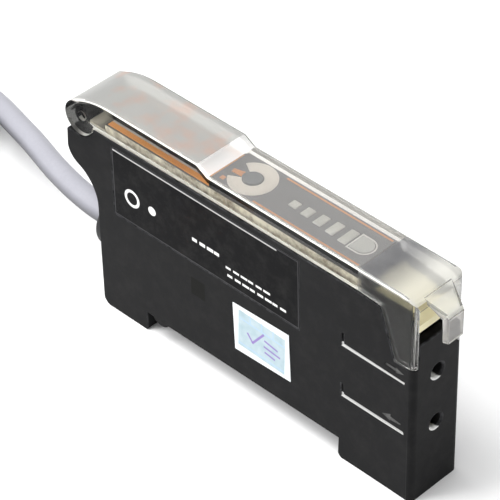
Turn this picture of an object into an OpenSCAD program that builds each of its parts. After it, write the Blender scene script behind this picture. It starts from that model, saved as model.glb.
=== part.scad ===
// Fibre optic sensor amplifier: slim rail-mounted case with a clear hinged cover.
// X runs from the cable end to the fibre end, Y across the case, Z up from the feet.

/* [Case] */
// Length from the front face to the rear end
case_l = 69; // [62:0.5:90]
// Width of the case and of the cover
case_w = 10; // [9:0.1:14]
// Height of the rim that the cover closes on
case_h = 33.2; // [30:0.1:40]
// Thickness of the side walls at the rim
side_wall = 1; // [0.8:0.05:1.3]
// Extra thickness of the side walls below the panel
ledge_w = 0.5; // [0.3:0.05:0.8]
// Thickness of the front wall
front_wall = 1.5; // [1:0.1:2.2]
// Thickness of the floor above the rail channel
floor_t = 1.5; // [1:0.1:2.5]
// Radius of the upright front edges
front_r = 1; // [0.4:0.1:1.6]
// Distance that the upper rear overhangs the lower rear
rear_step = 6; // [4:0.5:7]
// Depth below the rim where the rear starts to curve inwards
step_drop = 5.4; // [5:0.1:7]
// Height that the curve takes
step_rise = 9; // [7:0.5:11]
// Radius of the lower rear corner
rear_r = 1.5; // [0.5:0.1:2.5]

/* [Rail channel] */
// Width of the rail that the channel takes
rail_w = 35; // [32:0.1:38]
// Free play of the rail in the channel
rail_play = 0.2; // [0.1:0.05:0.5]
// Length of the front foot
front_foot_l = 14; // [11:0.5:16]
// Length of the channel behind the rail
bump_room = 4.2; // [3.6:0.1:5]
// Depth of the channel
channel_h = 3.5; // [2.5:0.1:4.5]
// Radius of the snap bump
bump_r = 2; // [1.5:0.1:2.4]
// Distance that the snap bump stands below the channel's ceiling
bump_h = 0.8; // [0.5:0.1:1.1]
// Radius of the feet's inner corners
foot_r = 1; // [0.4:0.1:1.4]

/* [Fibre holes] */
// Diameter of the fibre bores
fibre_d = 2.4; // [1.8:0.1:3]
// Depth of the upper fibre bore below the rim
fibre_drop = 11.1; // [10:0.1:12.5]
// Distance between the two fibre bores
fibre_pitch = 9.5; // [7:0.1:11]
// Depth that a fibre goes in behind the front face
fibre_depth = 13.4; // [12.4:0.1:16]
// Width of the engraved insertion marks
mark_w = 0.35; // [0.2:0.05:0.6]
// Depth of the engraved insertion marks
mark_d = 0.25; // [0.1:0.05:0.4]
// Height of the upright ends of the insertion marks
mark_rise = 2; // [1:0.1:3]
// Length of the engraved direction arrows
arrow_l = 3; // [2:0.1:4]

/* [Cover] */
// Thickness of the clear cover
cover_wall = 0.9; // [0.7:0.05:1.1]
// Height of the cover's low flat part above the rim
low_h = 4; // [3.4:0.1:5]
// Height of the hump above the low flat part
hump_h = 1.2; // [0.8:0.1:2]
// Place of the hump's front edge, as a share of the panel's length from its front
hump_share = 0.6075; // [0.5875:0.0025:0.6325]
// Length of the slope in front of the hump
hump_slope = 2.1; // [1:0.1:3]
// Length of the rounded fall at the cover's front
nose_l = 3; // [2:0.1:4]
// Height of the fall at the cover's front
nose_h = 1.3; // [0.8:0.1:1.8]
// Radius of the barrel that the cover turns on
barrel_r = 2.9; // [2.7:0.1:3.2]
// Height of the hinge axis above the rim
pivot_rise = 0.5; // [0.3:0.1:0.8]
// Length of the fall at the cover's rear
rear_fall = 5.3; // [4.8:0.1:6]
// Rounding of the cover where its rear fall begins
fall_round = 4; // [2:0.1:4.4]
// Radius of the hinge pins
hinge_pin_r = 0.8; // [0.5:0.05:1.1]
// Length of the hinge pins inside the knuckle
hinge_pin_l = 0.9; // [0.6:0.1:1.5]
// Distance that the finger tongue reaches past the front face
tongue_reach = 3; // [2:0.1:4.5]
// Width of the finger tongue at its tip
tongue_w = 3; // [2:0.1:4.5]
// Width of the finger tongue at its root
tongue_root_w = 5.4; // [4.5:0.1:6.5]
// Depth of the tongue's lower edge below the rim
tongue_drop = 3.6; // [2.8:0.1:4]
// Depth of the front legs' lower edge below the rim
leg_drop = 8.2; // [6:0.1:10]
// Length of the legs at the rim
leg_top_l = 6.2; // [5:0.1:7.5]
// Length of the legs at their lower edge
leg_low_l = 3.4; // [2.4:0.1:5]
// Distance that the legs wrap round the front face
leg_wrap = 1; // [0.9:0.05:1.3]

/* [Panel] */
// Depth of the panel's seat below the rim
panel_drop = 3.2; // [2.6:0.1:3.8]
// Room between the front deck and the cover
deck_room = 0.7; // [0.6:0.05:1.2]
// Fall from the front deck to the rear deck
deck_fall = 1; // [0.6:0.1:1.3]
// Place of the step between the decks, as a share of the panel's length from its front
deck_step_share = 0.576; // [0.57:0.002:0.588]
// Thickness of the panel's decks
deck_t = 1; // [0.6:0.1:1.3]
// Thickness of the panel's skirts
skirt_t = 0.7; // [0.5:0.05:0.9]
// Thickness of the printed films
film_t = 0.1; // [0.05:0.05:0.2]

/* [Dial and controls] */
// Place of the dial, as a share of the panel's length from its front
dial_share = 0.485; // [0.478:0.001:0.492]
// Margin of the white scale on the deck
scale_margin = 0.2; // [0.1:0.05:0.6]
// Inner radius of the white scale
scale_hole_r = 1.6; // [1.2:0.1:2]
// Angle of the gap in the white scale
scale_gap = 60; // [30:5:120]
// Angle of the pointer at rest from the middle of that gap
pointer_rest = 10; // [0:5:30]
// Radius of the pointer's spindle
spindle_r = 0.6; // [0.4:0.05:0.8]
// Place of the adjuster, as a share of the panel's length from its front
adjuster_share = 0.6795; // [0.666:0.0005:0.69]
// Radius of the adjuster's head
adjuster_r = 1.7; // [1.3:0.1:2]
// Height of the adjuster's head above the rear deck
adjuster_h = 1.6; // [1:0.1:2]
// Place of the timer switch, as a share of the panel's length from its front
timer_share = 0.802; // [0.796:0.0005:0.81]
// Place of the mode switch, as a share of the panel's length from its front
mode_share = 0.897; // [0.892:0.001:0.908]
// Travel of the slide switches
switch_travel = 1.6; // [1:0.1:2]
// Length of a switch knob across the case
knob_l = 1.6; // [1.2:0.1:2]
// Width of a switch knob along the case
knob_w = 1.4; // [1:0.1:1.8]
// Height of the knobs above the rear deck
knob_h = 1.4; // [0.8:0.1:2]

/* [Indicators] */
// Length from the panel's front to the level window nearest to it
level_back = 6.1; // [5.8:0.1:6.6]
// Distance between the level windows
level_pitch = 2.55; // [2.3:0.05:2.7]
// Length of a level window along the case
level_l = 1.5; // [1:0.1:1.8]
// Width of the smallest level window
level_min_w = 1.5; // [1:0.1:2]
// Width of the largest level window
level_max_w = 3.2; // [2.4:0.1:4]
// Length from the panel's front to the operation window's centre
operation_back = 3.2; // [3:0.1:3.5]
// Width of the operation window
operation_w = 3; // [2.2:0.1:3.4]

/* [Lock lever] */
// Length from the front face to the lever's pin
lever_back = 8.6; // [7.6:0.1:9.6]
// Depth of the lever's pin below the rim
lever_drop = 1.8; // [1.6:0.1:2.2]
// Radius of the lever's hub
lever_hub_r = 1.6; // [1.2:0.1:1.8]
// Radius of the lever's pin
lever_pin_r = 0.6; // [0.4:0.05:0.8]
// Depth of the lever's tip below the rim
lever_tip_drop = 1; // [0.8:0.1:1.4]
// Thickness of the lever's arm at the tip
lever_tip_t = 1.2; // [0.8:0.1:1.4]
// Depth of the front wall's top edge below the rim
sill_drop = 4.2; // [4:0.1:5]

/* [Labels] */
// Length from the rear end to the nameplate's rear edge
plate_rear = 9.7; // [9:0.1:14]
// Length from the front face to the nameplate's front edge
plate_front = 21.6; // [16:0.1:26]
// Height of the nameplate
plate_h = 12.4; // [8:0.1:13]
// Depth of the nameplate's upper edge below the rim
plate_drop = 1.2; // [1:0.1:2.5]
// Thickness of the nameplate
plate_t = 0.15; // [0.1:0.05:0.3]
// Length of the paper sticker
sticker_l = 11.2; // [8:0.1:14]
// Height of the paper sticker
sticker_h = 8.7; // [5:0.1:9]
// Length from the front face to the middle of the paper sticker
sticker_back = 29; // [24:0.5:38]
// Turn of the paper sticker
sticker_turn = 2; // [0:0.5:4]

/* [Cable] */
// Diameter of the cable
cable_d = 4; // [3:0.1:5]
// Diameter of the boot outside the case
boot_d = 8.6; // [7.4:0.1:9]
// Length of the boot outside the case
boot_l = 2.2; // [1.6:0.1:3.5]
// Diameter of the insulated conductors
wire_d = 1.3; // [0.9:0.1:1.6]

/* [Hidden] */
$fn = 48;

// Clearances: turning fits, sliding fits, swinging pieces and closed seats
run_gap = 0.05;
slip_gap = 0.1;
swing_gap = 0.3;
seat_gap = 0.05;

// Overlaps that keep cuts clean and join solids
cut = 1;
merge = 0.5;

// Main planes
front_x = (case_l - tongue_reach) / 2;
rear_x = front_x - case_l;
rear_low_x = rear_x + rear_step;
half_w = case_w / 2;
near_y = -half_w;
floor_z = channel_h + floor_t;
step_z = case_h - step_drop - step_rise;
low_z = case_h + low_h;
hump_z = low_z + hump_h;
rim_half = half_w - side_wall;
panel_half = rim_half - slip_gap;
bay_half = rim_half - ledge_w;
front_bay_half = rim_half - side_wall;

// Channel
channel_l = rail_w + rail_play + bump_room;
front_foot_x = front_x - front_foot_l;
rear_foot_x = front_foot_x - channel_l;
bump_centre_z = channel_h + bump_r - bump_h;
rail_mid_drop = bump_r - bump_h / 2;
bump_flank = sqrt(bump_r * bump_r - rail_mid_drop * rail_mid_drop);
bump_x = front_foot_x - rail_w - rail_play - bump_flank;
bump_half = sqrt(bump_r * bump_r - (bump_r - bump_h) * (bump_r - bump_h));
bump_angle = acos(bump_half / bump_r);

// Rear curve, two arcs of equal turn
step_angle = 2 * atan(rear_step / step_rise);
step_radii = step_rise / sin(step_angle);
step_hollow_r = step_radii * 2 / 3;
step_round_r = step_radii / 3;

// Hinge
pivot_x = rear_x + barrel_r;
pivot_z = case_h + pivot_rise;
fall_x = rear_x + rear_fall;
knuckle_r = barrel_r - cover_wall - swing_gap - slip_gap;
pocket_r = barrel_r + swing_gap;
cheek_in = half_w - cover_wall;
knuckle_half = cheek_in - 2 * slip_gap;
core_t = 1.6;
bay_rear_x = pivot_x + pocket_r + core_t;
core_top_z = pivot_z - slip_gap;
cover_rim_z = case_h + seat_gap;

// Lever
lever_x = front_x - lever_back;
lever_pin_z = case_h - lever_drop;
lever_tip_z = case_h - lever_tip_drop;
lever_tip_gap = 0.4;
lever_tip_x = front_x - lever_tip_gap;
lever_half = front_bay_half - 2 * slip_gap;
lever_pin_in = 0.5;
slot_back = 2.5;
slot_half = half_w - leg_wrap - slip_gap;
tab_gap = 0.6;
lever_tab_x = front_x - slot_back + tab_gap;
sill_z = case_h - sill_drop;
rib_t = 0.8;
rib_rise = 1.3;
rib_top_z = sill_z + rib_rise;

// Panel and the places along it
panel_gap = 0.5;
panel_seat_z = case_h - panel_drop;
panel_rear_x = bay_rear_x + slip_gap;
panel_front_x = lever_x - lever_hub_r - panel_gap;
panel_l = panel_front_x - panel_rear_x;
front_bay_x = lever_x - lever_hub_r + slip_gap;
bay_front_x = front_x - front_wall;
deck_z = low_z - cover_wall - deck_room;
rear_deck_z = deck_z - deck_fall;
under_deck_z = rear_deck_z - deck_t - slip_gap;
deck_step_x = panel_front_x - panel_l * deck_step_share;
dial_x = panel_front_x - panel_l * dial_share;
adjuster_x = panel_front_x - panel_l * adjuster_share;
timer_x = panel_front_x - panel_l * timer_share;
mode_x = panel_front_x - panel_l * mode_share;
scale_r = panel_half - scale_margin;
film_z = deck_z + film_t;
pointer_z = film_z + run_gap;
pointer_t = 0.25;
level_count = 5;
window_depth = 0.6;
window_low_z = deck_z - deck_t - window_depth;
label_margin = 0.3;

// Switches and adjuster under the rear deck
body_half = panel_half - skirt_t - swing_gap;
switch_body_l = timer_x - mode_x - 2 * swing_gap;
slider_depth = 1.9;
slider_low_z = under_deck_z - slider_depth;
stem_r = 1;
stem_low_z = panel_seat_z;
spindle_seat = 1;
spindle_low_z = panel_seat_z + spindle_seat;
gear_wall = 1.3;

// Cover front
hump_x = panel_front_x - panel_l * hump_share;
low_x = hump_x + hump_slope;
nose_z = low_z - nose_h;
nose_steps = 6;
fall_steps = 6;
fall_share = 0.95;
tongue_fall = 1.4;
tongue_tip_x = front_x + tongue_reach;
tongue_top_z = nose_z - tongue_fall;
tongue_z = case_h - tongue_drop;
tongue_r = 0.8;
tongue_turn = 70;
root_turn = 35;
leg_z = case_h - leg_drop;

// Fibre end
fibre_r = fibre_d / 2;
upper_fibre_z = case_h - fibre_drop;
fibre_z = upper_fibre_z - fibre_pitch;
holder_rear_x = front_x - fibre_depth;
holder_roof = 3.2;
holder_top_z = upper_fibre_z + fibre_r + holder_roof;
holder_half = front_bay_half - slip_gap;
clamp_side_gap = 0.4;
clamp_top_z = lever_pin_z - lever_hub_r - slip_gap;
mark_front = 1.6;
arrow_back = 3.7;
arrow_rise = 1.3;

// Board and the parts on it
board_t = 1;
board_gap = 0.7;
board_y = bay_half - board_gap - board_t;
board_front_gap = 0.4;
board_front_x = holder_rear_x - board_front_gap;
board_end_gap = 1.5;
board_rear_x = bay_rear_x + board_end_gap;
board_top_z = panel_seat_z - board_end_gap;
optic_l = 3;
optic_gap = 0.3;
optic_side_gap = 0.4;
optic_x = holder_rear_x - optic_gap;
optic_r = board_y - optic_side_gap;

// Labels
plate_gap = 0.05;
plate_x = rear_x + plate_rear;
plate_l = case_l - plate_rear - plate_front;
plate_top_z = case_h - plate_drop;
plate_z = plate_top_z - plate_h;
sticker_t = 0.1;
sticker_gap = 2.55;
sticker_x = front_x - sticker_back;
sticker_z = plate_z - sticker_gap - sticker_h / 2;

// Boot, below the rear curve
cable_r = cable_d / 2;
boot_wall = 0.6;
boot_neck_r = cable_r + boot_wall;
boot_round = 0.7;
boot_flange_t = 1.2;
boot_flange_r = bay_half - 2 * slip_gap;
boot_step_gap = 2;
cable_z = step_z - boot_step_gap - boot_d / 2;

// Coil of the stored cable, four rows of turns
coil_r = 5.2 * cable_d;
coil_half = 2 * cable_d;
coil_rows = 4;
coil_h = coil_rows * cable_d;
coil_shoulder = 1.25 * cable_d;
tie_angle = 160;
tie_w = 3.6;
tie_t = 1;
cable_sides = 10;
wire_sides = 8;
strand_l = 6;
strand_d = 0.8;

// Runs chosen by hand: steps along X and Y from where the run starts, and the share of its height
cable_run = [[0, 0, 1], [-3.8, 0, 1], [-7.8, 0.4, 1], [-11.8, 1.2, 0.98], [-16.3, 2.5, 0.93],
    [-20.8, 4.1, 0.87], [-25.3, 5.8, 0.79], [-29.8, 7.4, 0.7], [-34.3, 9, 0.61], [-38.8, 10.6, 0.51],
    [-43.3, 12, 0.4], [-47.8, 13.2, 0.29], [-52.3, 14.1, 0.18], [-56.8, 14.7, 0.08],
    [-61, 15, 0.02], [-64.8, 15, 0]];
// Last free stretch of the cable, from the coil's centre
tail_run = [[-5.9, -22, 1], [1, -23.2, 1], [8, -24.2, 1], [15, -25.1, 0.96], [22, -25.8, 0.78],
    [29, -26.3, 0.49], [36, -26.6, 0.2], [42, -26.6, 0.05], [47, -26.6, 0]];
// Conductors past the stripped end
brown_run = [[0, -0.8, 0.63], [3.5, -1, 0.33], [7.5, -0.7, 0.11], [11.5, 0, 0.04], [15.5, 1, 0.04]];
blue_run = [[0, 0.8, 0.56], [3.2, 1.7, 0.33], [6.7, 3.4, 0.11], [10, 5.6, 0.04], [13, 8.4, 0.04]];
black_run = [[0, 0, 1.52], [3.7, 0.2, 1.3], [7.8, 0.9, 0.56], [11.6, 2.3, 0.04], [15, 4.4, 0.04]];

// Points of a run set down at a place, between its low and its high level
function laid(run, at, low, high) =
    [for (p = run) [at[0] + p[0], at[1] + p[1], low + p[2] * (high - low)]];
function end_of(route) = route[len(route) - 1];

cable_route = laid(cable_run, [rear_low_x - boot_l, 0], cable_r, cable_z);
coil_at = end_of(cable_route) - [0, coil_r + coil_half - cable_r, 0];
tail_route = laid(tail_run, coil_at, cable_r, coil_h - cable_r);
brown_route = laid(brown_run, end_of(tail_route), wire_d / 2, cable_r);
blue_route = laid(blue_run, end_of(tail_route), wire_d / 2, cable_r);
black_route = laid(black_run, end_of(tail_route), wire_d / 2, cable_r);

// Points of an arc in the X-Z plane
function arc(cx, cz, r, from, to, steps) =
    [for (i = [0:steps]) let (a = from + (to - from) * i / steps) [cx + r * cos(a), cz + r * sin(a)]];

// Side outline of the case with its feet, channel and overhanging rear
function case_points() = concat(
    [[front_x, 0], [front_x, case_h], [rear_x, case_h]],
    arc(rear_x + step_round_r, step_z + step_rise, step_round_r, 180, 180 + step_angle, 10),
    arc(rear_low_x - step_hollow_r, step_z, step_hollow_r, step_angle, 0, 12),
    arc(rear_low_x + rear_r, rear_r, rear_r, 180, 270, 8),
    arc(rear_foot_x - foot_r / 2, foot_r / 2, foot_r / 2, 270, 360, 4),
    [[rear_foot_x, channel_h]],
    arc(bump_x, bump_centre_z, bump_r, 180 + bump_angle, 360 - bump_angle, 12),
    [[front_foot_x, channel_h]],
    arc(front_foot_x + foot_r, foot_r, foot_r, 180, 270, 6));

function unit(v) = v / norm(v);
function route_dir(p, i) = unit(p[min(i + 1, len(p) - 1)] - p[max(i - 1, 0)]);
function ring_side(d) = unit(cross(d, [0, 0, 1]));

// Closed tube along the points of a route
module tube(p, d, sides) {
    rings = len(p);
    verts = [for (i = [0:rings - 1]) let (t = route_dir(p, i), s = ring_side(t), u = cross(s, t))
        for (k = [0:sides - 1]) let (a = 360 * k / sides) p[i] + (s * cos(a) + u * sin(a)) * d / 2];
    walls = [for (i = [0:rings - 2]) for (k = [0:sides - 1]) let (n = (k + 1) % sides)
        [i * sides + k, i * sides + n, (i + 1) * sides + n, (i + 1) * sides + k]];
    ends = [[for (k = [sides - 1:-1:0]) k], [for (k = [0:sides - 1]) (rings - 1) * sides + k]];
    polyhedron(points = verts, faces = concat(walls, ends));
}

// Extrudes an outline drawn in X and Z from one Y to another
module slab(y0, y1) {
    translate([0, y1, 0])
        rotate([90, 0, 0])
            linear_extrude(y1 - y0)
                children();
}

// Box between two corners
module block(low, high) {
    translate(low)
        cube(high - low);
}

// Round bar along Y between two places
module bar_y(x, z, r, y0, y1) {
    slab(y0, y1)
        translate([x, z])
            circle(r);
}

// Round bar along X between two places
module bar_x(y, z, r, x0, x1) {
    translate([x0, y, z])
        rotate([0, 90, 0])
            cylinder(r = r, h = x1 - x0);
}

// Plan of the part, with its upright front edges rounded
module plan(back, reach) {
    linear_extrude(hump_z + cut) {
        translate([back, -half_w])
            square([reach - front_r - back, case_w]);
        translate([back, -half_w + front_r])
            square([reach - back, case_w - 2 * front_r]);
        for (s = [-1, 1])
            translate([reach - front_r, s * (half_w - front_r)])
                circle(front_r);
    }
}

// Outline of a front leg of the cover, grown by a gap, up to a height
module leg_outline(gap, top) {
    polygon([[front_x - leg_top_l - gap, case_h], [front_x - leg_low_l - gap, leg_z - gap],
        [front_x + gap, leg_z - gap], [front_x + gap, top], [front_x - leg_top_l - gap, top]]);
}

// Recesses in the case's front corners that the legs close into
module leg_recess() {
    for (s = [-1, 1])
        on_side(s) {
            slab(cheek_in - slip_gap, half_w + cut)
                leg_outline(slip_gap, case_h + cut);
            block([front_x - cover_wall - slip_gap, slot_half, leg_z - slip_gap],
                [front_x + cut, half_w + cut, case_h + cut]);
        }
}

// Draws its children on the far side, or mirrored on the near side
module on_side(s) {
    if (s > 0)
        children();
    else
        mirror([0, 1, 0])
            children();
}

// Bay that holds the electronics, open at the top
module case_bay() {
    block([bay_rear_x, -bay_half, floor_z], [front_bay_x, bay_half, case_h + cut]);
    block([bay_rear_x, -rim_half, panel_seat_z], [front_bay_x, rim_half, hump_z]);
    block([front_bay_x - cut, -front_bay_half, floor_z], [bay_front_x, front_bay_half, case_h + cut]);
    block([front_x - slot_back, -slot_half, sill_z], [front_x + cut, slot_half, case_h + cut]);
}

// Engraved lines on the near face that show how far a fibre goes in
module insertion_marks() {
    for (z = [fibre_z, upper_fibre_z]) {
        block([holder_rear_x, near_y - cut, z - mark_w], [front_x - mark_front, near_y + mark_d, z]);
        block([holder_rear_x, near_y - cut, z - mark_w],
            [holder_rear_x + mark_w, near_y + mark_d, z + mark_rise]);
    }
}

// Engraved arrows over the insertion marks, one out and one in
module direction_arrows() {
    shaft = 0.15;
    head = 0.55;
    tip = arrow_l / 2;
    neck = tip - 2 * head;
    for (a = [[upper_fibre_z, 0], [fibre_z, 180]])
        slab(near_y - cut, near_y + mark_d / 2)
            translate([front_x - arrow_back, a[0] + arrow_rise])
                rotate(a[1])
                    polygon([[-tip, shaft], [-tip, -shaft], [neck, -shaft], [neck, -head], [tip, 0],
                        [neck, head], [neck, shaft]]);
}

module case() {
    color([0.1, 0.1, 0.11])
        difference() {
            union() {
                difference() {
                    intersection() {
                        slab(near_y, half_w)
                            polygon(case_points());
                        plan(rear_x - cut, front_x);
                    }
                    bar_y(pivot_x, pivot_z, pocket_r, near_y - cut, half_w + cut);
                    block([rear_x - cut, near_y - cut, pivot_z - pocket_r],
                        [pivot_x, half_w + cut, hump_z + cut]);
                    case_bay();
                    leg_recess();
                }
                bar_y(pivot_x, pivot_z, knuckle_r, -knuckle_half, knuckle_half);
                block([pivot_x, -knuckle_half, pivot_z - knuckle_r], [bay_rear_x, knuckle_half, core_top_z]);
                block([pivot_x + pocket_r - merge, -knuckle_half, panel_seat_z - cut],
                    [bay_rear_x, knuckle_half, core_top_z]);
                block([front_x - slot_back - rib_t, -front_bay_half - merge, holder_top_z + slip_gap],
                    [front_x - slot_back, front_bay_half + merge, rib_top_z]);
            }
            for (s = [-1, 1])
                on_side(s)
                    bar_y(pivot_x, pivot_z, hinge_pin_r + run_gap,
                        cheek_in - hinge_pin_l - swing_gap, cheek_in);
            bar_y(lever_x, lever_pin_z, lever_pin_r + run_gap / 2,
                -front_bay_half - lever_pin_in - slip_gap, front_bay_half + lever_pin_in + slip_gap);
            for (z = [fibre_z, upper_fibre_z])
                bar_x(0, z, fibre_r, bay_front_x - cut, front_x + cut);
            bar_x(0, cable_z, boot_neck_r + run_gap, rear_low_x - cut, bay_rear_x + cut);
            block([plate_x, near_y - cut, plate_z],
                [plate_x + plate_l, near_y + plate_t + plate_gap, plate_top_z]);
            insertion_marks();
            direction_arrows();
        }
}

// Points of the fall at the cover's front, at a height
function nose_points(z) =
    [for (i = [0:nose_steps]) let (a = 90 * i / nose_steps)
        [front_x - nose_l * (1 - cos(a)), z + nose_h * sin(a)]];

// Points of the fall at the cover's rear, round at the top and straight down to the barrel of a radius
function fall_points(z, r) =
    let (corner = [fall_x, z],
        d = corner - [pivot_x, pivot_z],
        a = atan2(d[1], d[0]) + acos(r / norm(d)),
        foot = [pivot_x + r * cos(a), pivot_z + r * sin(a)],
        run = norm(foot - corner),
        reach = min(fall_round, fall_share * run),
        start = corner + [reach, 0],
        end = corner + (foot - corner) * (reach / run))
    concat([for (i = [0:fall_steps]) let (t = i / fall_steps)
        start * ((1 - t) * (1 - t)) + corner * (2 * t * (1 - t)) + end * (t * t)],
        [foot, [pivot_x, pivot_z]]);

// Side outline of the closed cover
module cover_outline() {
    translate([pivot_x, pivot_z])
        circle(barrel_r);
    polygon(concat([[pivot_x, cover_rim_z], [front_x, cover_rim_z]], nose_points(nose_z),
        [[low_x, low_z], [hump_x, hump_z]], fall_points(hump_z, barrel_r)));
}

// Side outline of the room under the cover, open to the front and below the hinge
module cover_room_outline() {
    translate([pivot_x, pivot_z])
        circle(barrel_r - cover_wall);
    translate([pivot_x - barrel_r - cut, pivot_z - barrel_r - cut])
        square([barrel_r + cut, barrel_r + cut]);
    polygon(concat([[pivot_x, leg_z], [front_x + cut, leg_z], [front_x + cut, nose_z - cover_wall]],
        nose_points(nose_z - cover_wall),
        [[low_x, low_z - cover_wall], [hump_x, hump_z - cover_wall]],
        fall_points(hump_z - cover_wall, barrel_r - cover_wall)));
}

// Side outline of the finger tongue with its front lip
module tongue_outline() {
    root = [front_x - nose_l * (1 - cos(root_turn)), nose_z + nose_h * sin(root_turn)];
    polygon(concat([root - [0, cover_wall]],
        [[tongue_tip_x - cover_wall, tongue_top_z - tongue_r], [tongue_tip_x - cover_wall, tongue_z],
        [tongue_tip_x, tongue_z]],
        arc(tongue_tip_x - tongue_r, tongue_top_z - tongue_r, tongue_r, 0, tongue_turn, 5), [root]));
}

// Plan of the finger tongue, wider at its root
module tongue_plan() {
    root = tongue_root_w / 2;
    tip = tongue_w / 2;
    polygon([[front_x - nose_l, -root], [front_x, -root], [tongue_tip_x, -tip],
        [tongue_tip_x, tip], [front_x, root], [front_x - nose_l, root]]);
}

// One front leg of the cover with its short wrap round the front face
module cover_leg() {
    slab(cheek_in, half_w)
        leg_outline(0, cover_rim_z + cover_wall);
    block([front_x - cover_wall, half_w - leg_wrap, leg_z], [front_x, half_w, nose_z]);
}

module cover() {
    color([0.8, 0.82, 0.8, 0.35])
        union() {
            intersection() {
                union() {
                    difference() {
                        slab(near_y, half_w)
                            cover_outline();
                        slab(-cheek_in, cheek_in)
                            cover_room_outline();
                    }
                    for (s = [-1, 1])
                        on_side(s)
                            cover_leg();
                }
                plan(rear_x - cut, front_x);
            }
            intersection() {
                slab(-tongue_root_w, tongue_root_w)
                    tongue_outline();
                linear_extrude(low_z)
                    tongue_plan();
            }
            for (s = [-1, 1])
                on_side(s)
                    bar_y(pivot_x, pivot_z, hinge_pin_r, cheek_in - hinge_pin_l, cheek_in);
        }
}

// Slot that a switch knob slides in, between two heights
module knob_slot(x, low, high) {
    block([x - knob_w / 2 - slip_gap, -(switch_travel + knob_l) / 2 - slip_gap, low],
        [x + knob_w / 2 + slip_gap, (switch_travel + knob_l) / 2 + slip_gap, high]);
}

// Plan of a level window, counted from the rear
module level_plan(i, gap) {
    w = level_min_w + (level_max_w - level_min_w) * i / (level_count - 1);
    translate([panel_front_x - level_back - level_pitch * (level_count - 1 - i), 0])
        square([level_l + 2 * gap, w + 2 * gap], center = true);
}

// Plan of the operation window, round towards the front
module operation_plan(gap) {
    r = operation_w / 2 + gap;
    translate([panel_front_x - operation_back, 0]) {
        circle(r);
        translate([-r, -r])
            square([r, 2 * r]);
    }
}

module control_panel() {
    inner = panel_half - skirt_t;
    color([0.24, 0.26, 0.3])
        difference() {
            union() {
                block([panel_rear_x, -panel_half, panel_seat_z], [panel_front_x, panel_half, rear_deck_z]);
                block([deck_step_x, -panel_half, panel_seat_z], [panel_front_x, panel_half, deck_z]);
            }
            block([panel_rear_x + skirt_t, -inner, panel_seat_z - cut],
                [panel_front_x - skirt_t, inner, rear_deck_z - deck_t]);
            block([deck_step_x + skirt_t, -inner, panel_seat_z - cut],
                [panel_front_x - skirt_t, inner, deck_z - deck_t]);
            translate([dial_x, 0, panel_seat_z])
                cylinder(r = spindle_r + slip_gap, h = hump_z);
            translate([adjuster_x, 0, panel_seat_z])
                cylinder(r = adjuster_r + slip_gap, h = hump_z);
            for (x = [timer_x, mode_x])
                knob_slot(x, panel_seat_z, hump_z);
            translate([0, 0, panel_seat_z])
                linear_extrude(hump_z) {
                    for (i = [0:level_count - 1])
                        level_plan(i, run_gap);
                    operation_plan(run_gap);
                }
        }
}

module control_label() {
    color([0.9, 0.45, 0.15])
        difference() {
            block([panel_rear_x + label_margin, -panel_half + label_margin, rear_deck_z],
                [deck_step_x - label_margin, panel_half - label_margin, rear_deck_z + film_t]);
            translate([adjuster_x, 0, panel_seat_z])
                cylinder(r = adjuster_r + label_margin, h = hump_z);
            for (x = [timer_x, mode_x])
                knob_slot(x, panel_seat_z, hump_z);
        }
}

module scale_ring() {
    reach = 2 * scale_r;
    half_gap = scale_gap / 2;
    color([0.93, 0.93, 0.9])
        translate([dial_x, 0, deck_z])
            linear_extrude(film_t)
                difference() {
                    circle(scale_r);
                    circle(scale_hole_r);
                    polygon([[0, 0], [-reach * cos(half_gap), reach * sin(half_gap)],
                        [-reach * cos(half_gap), -reach * sin(half_gap)]]);
                }
}

module dial_pointer() {
    needle_w = 0.7;
    color([0.9, 0.45, 0.15])
        translate([dial_x, 0, 0]) {
            translate([0, 0, pointer_z])
                linear_extrude(pointer_t)
                    union() {
                        circle(scale_hole_r - 2 * slip_gap);
                        rotate(pointer_rest)
                            polygon([[0, needle_w], [-scale_r + swing_gap, needle_w / 2],
                                [-scale_r + swing_gap, -needle_w / 2], [0, -needle_w]]);
                    }
            translate([0, 0, spindle_low_z])
                cylinder(r = spindle_r, h = pointer_z + pointer_t - spindle_low_z);
        }
}

module adjuster_screw() {
    slot_w = 0.5;
    slot_d = 0.6;
    head_top = rear_deck_z + adjuster_h;
    color([0.85, 0.85, 0.8])
        translate([adjuster_x, 0, 0])
            difference() {
                union() {
                    translate([0, 0, rear_deck_z - deck_t / 2])
                        cylinder(r = adjuster_r, h = adjuster_h + deck_t / 2);
                    translate([0, 0, stem_low_z])
                        cylinder(r = stem_r, h = head_top - stem_low_z);
                }
                for (a = [0, 90])
                    rotate(a)
                        translate([-adjuster_r - cut, -slot_w / 2, head_top - slot_d])
                            cube([2 * (adjuster_r + cut), slot_w, slot_d + cut]);
            }
}

module adjuster_body() {
    color([0.15, 0.3, 0.55])
        difference() {
            block([adjuster_x - adjuster_r - gear_wall, -body_half, board_top_z],
                [dial_x + 2 * gear_wall, body_half, under_deck_z]);
            translate([adjuster_x, 0, stem_low_z - slip_gap])
                cylinder(r = stem_r + run_gap, h = hump_z);
            translate([dial_x, 0, spindle_low_z - slip_gap])
                cylinder(r = spindle_r + run_gap, h = hump_z);
        }
}

// Sliding knob of a switch, at the near end of its travel
module switch_slider(x) {
    y = -(switch_travel + knob_l) / 2;
    block([x - knob_w / 2, y, slider_low_z], [x + knob_w / 2, y + knob_l, rear_deck_z + knob_h]);
}

// Body of a slide switch
module switch_body(x) {
    difference() {
        block([x - switch_body_l / 2, -body_half, board_top_z],
            [x + switch_body_l / 2, body_half, under_deck_z]);
        knob_slot(x, slider_low_z - slip_gap, hump_z);
    }
}

module timer_slider() {
    color([0.92, 0.92, 0.88])
        switch_slider(timer_x);
}

module timer_switch_body() {
    color([0.12, 0.12, 0.13])
        switch_body(timer_x);
}

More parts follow.
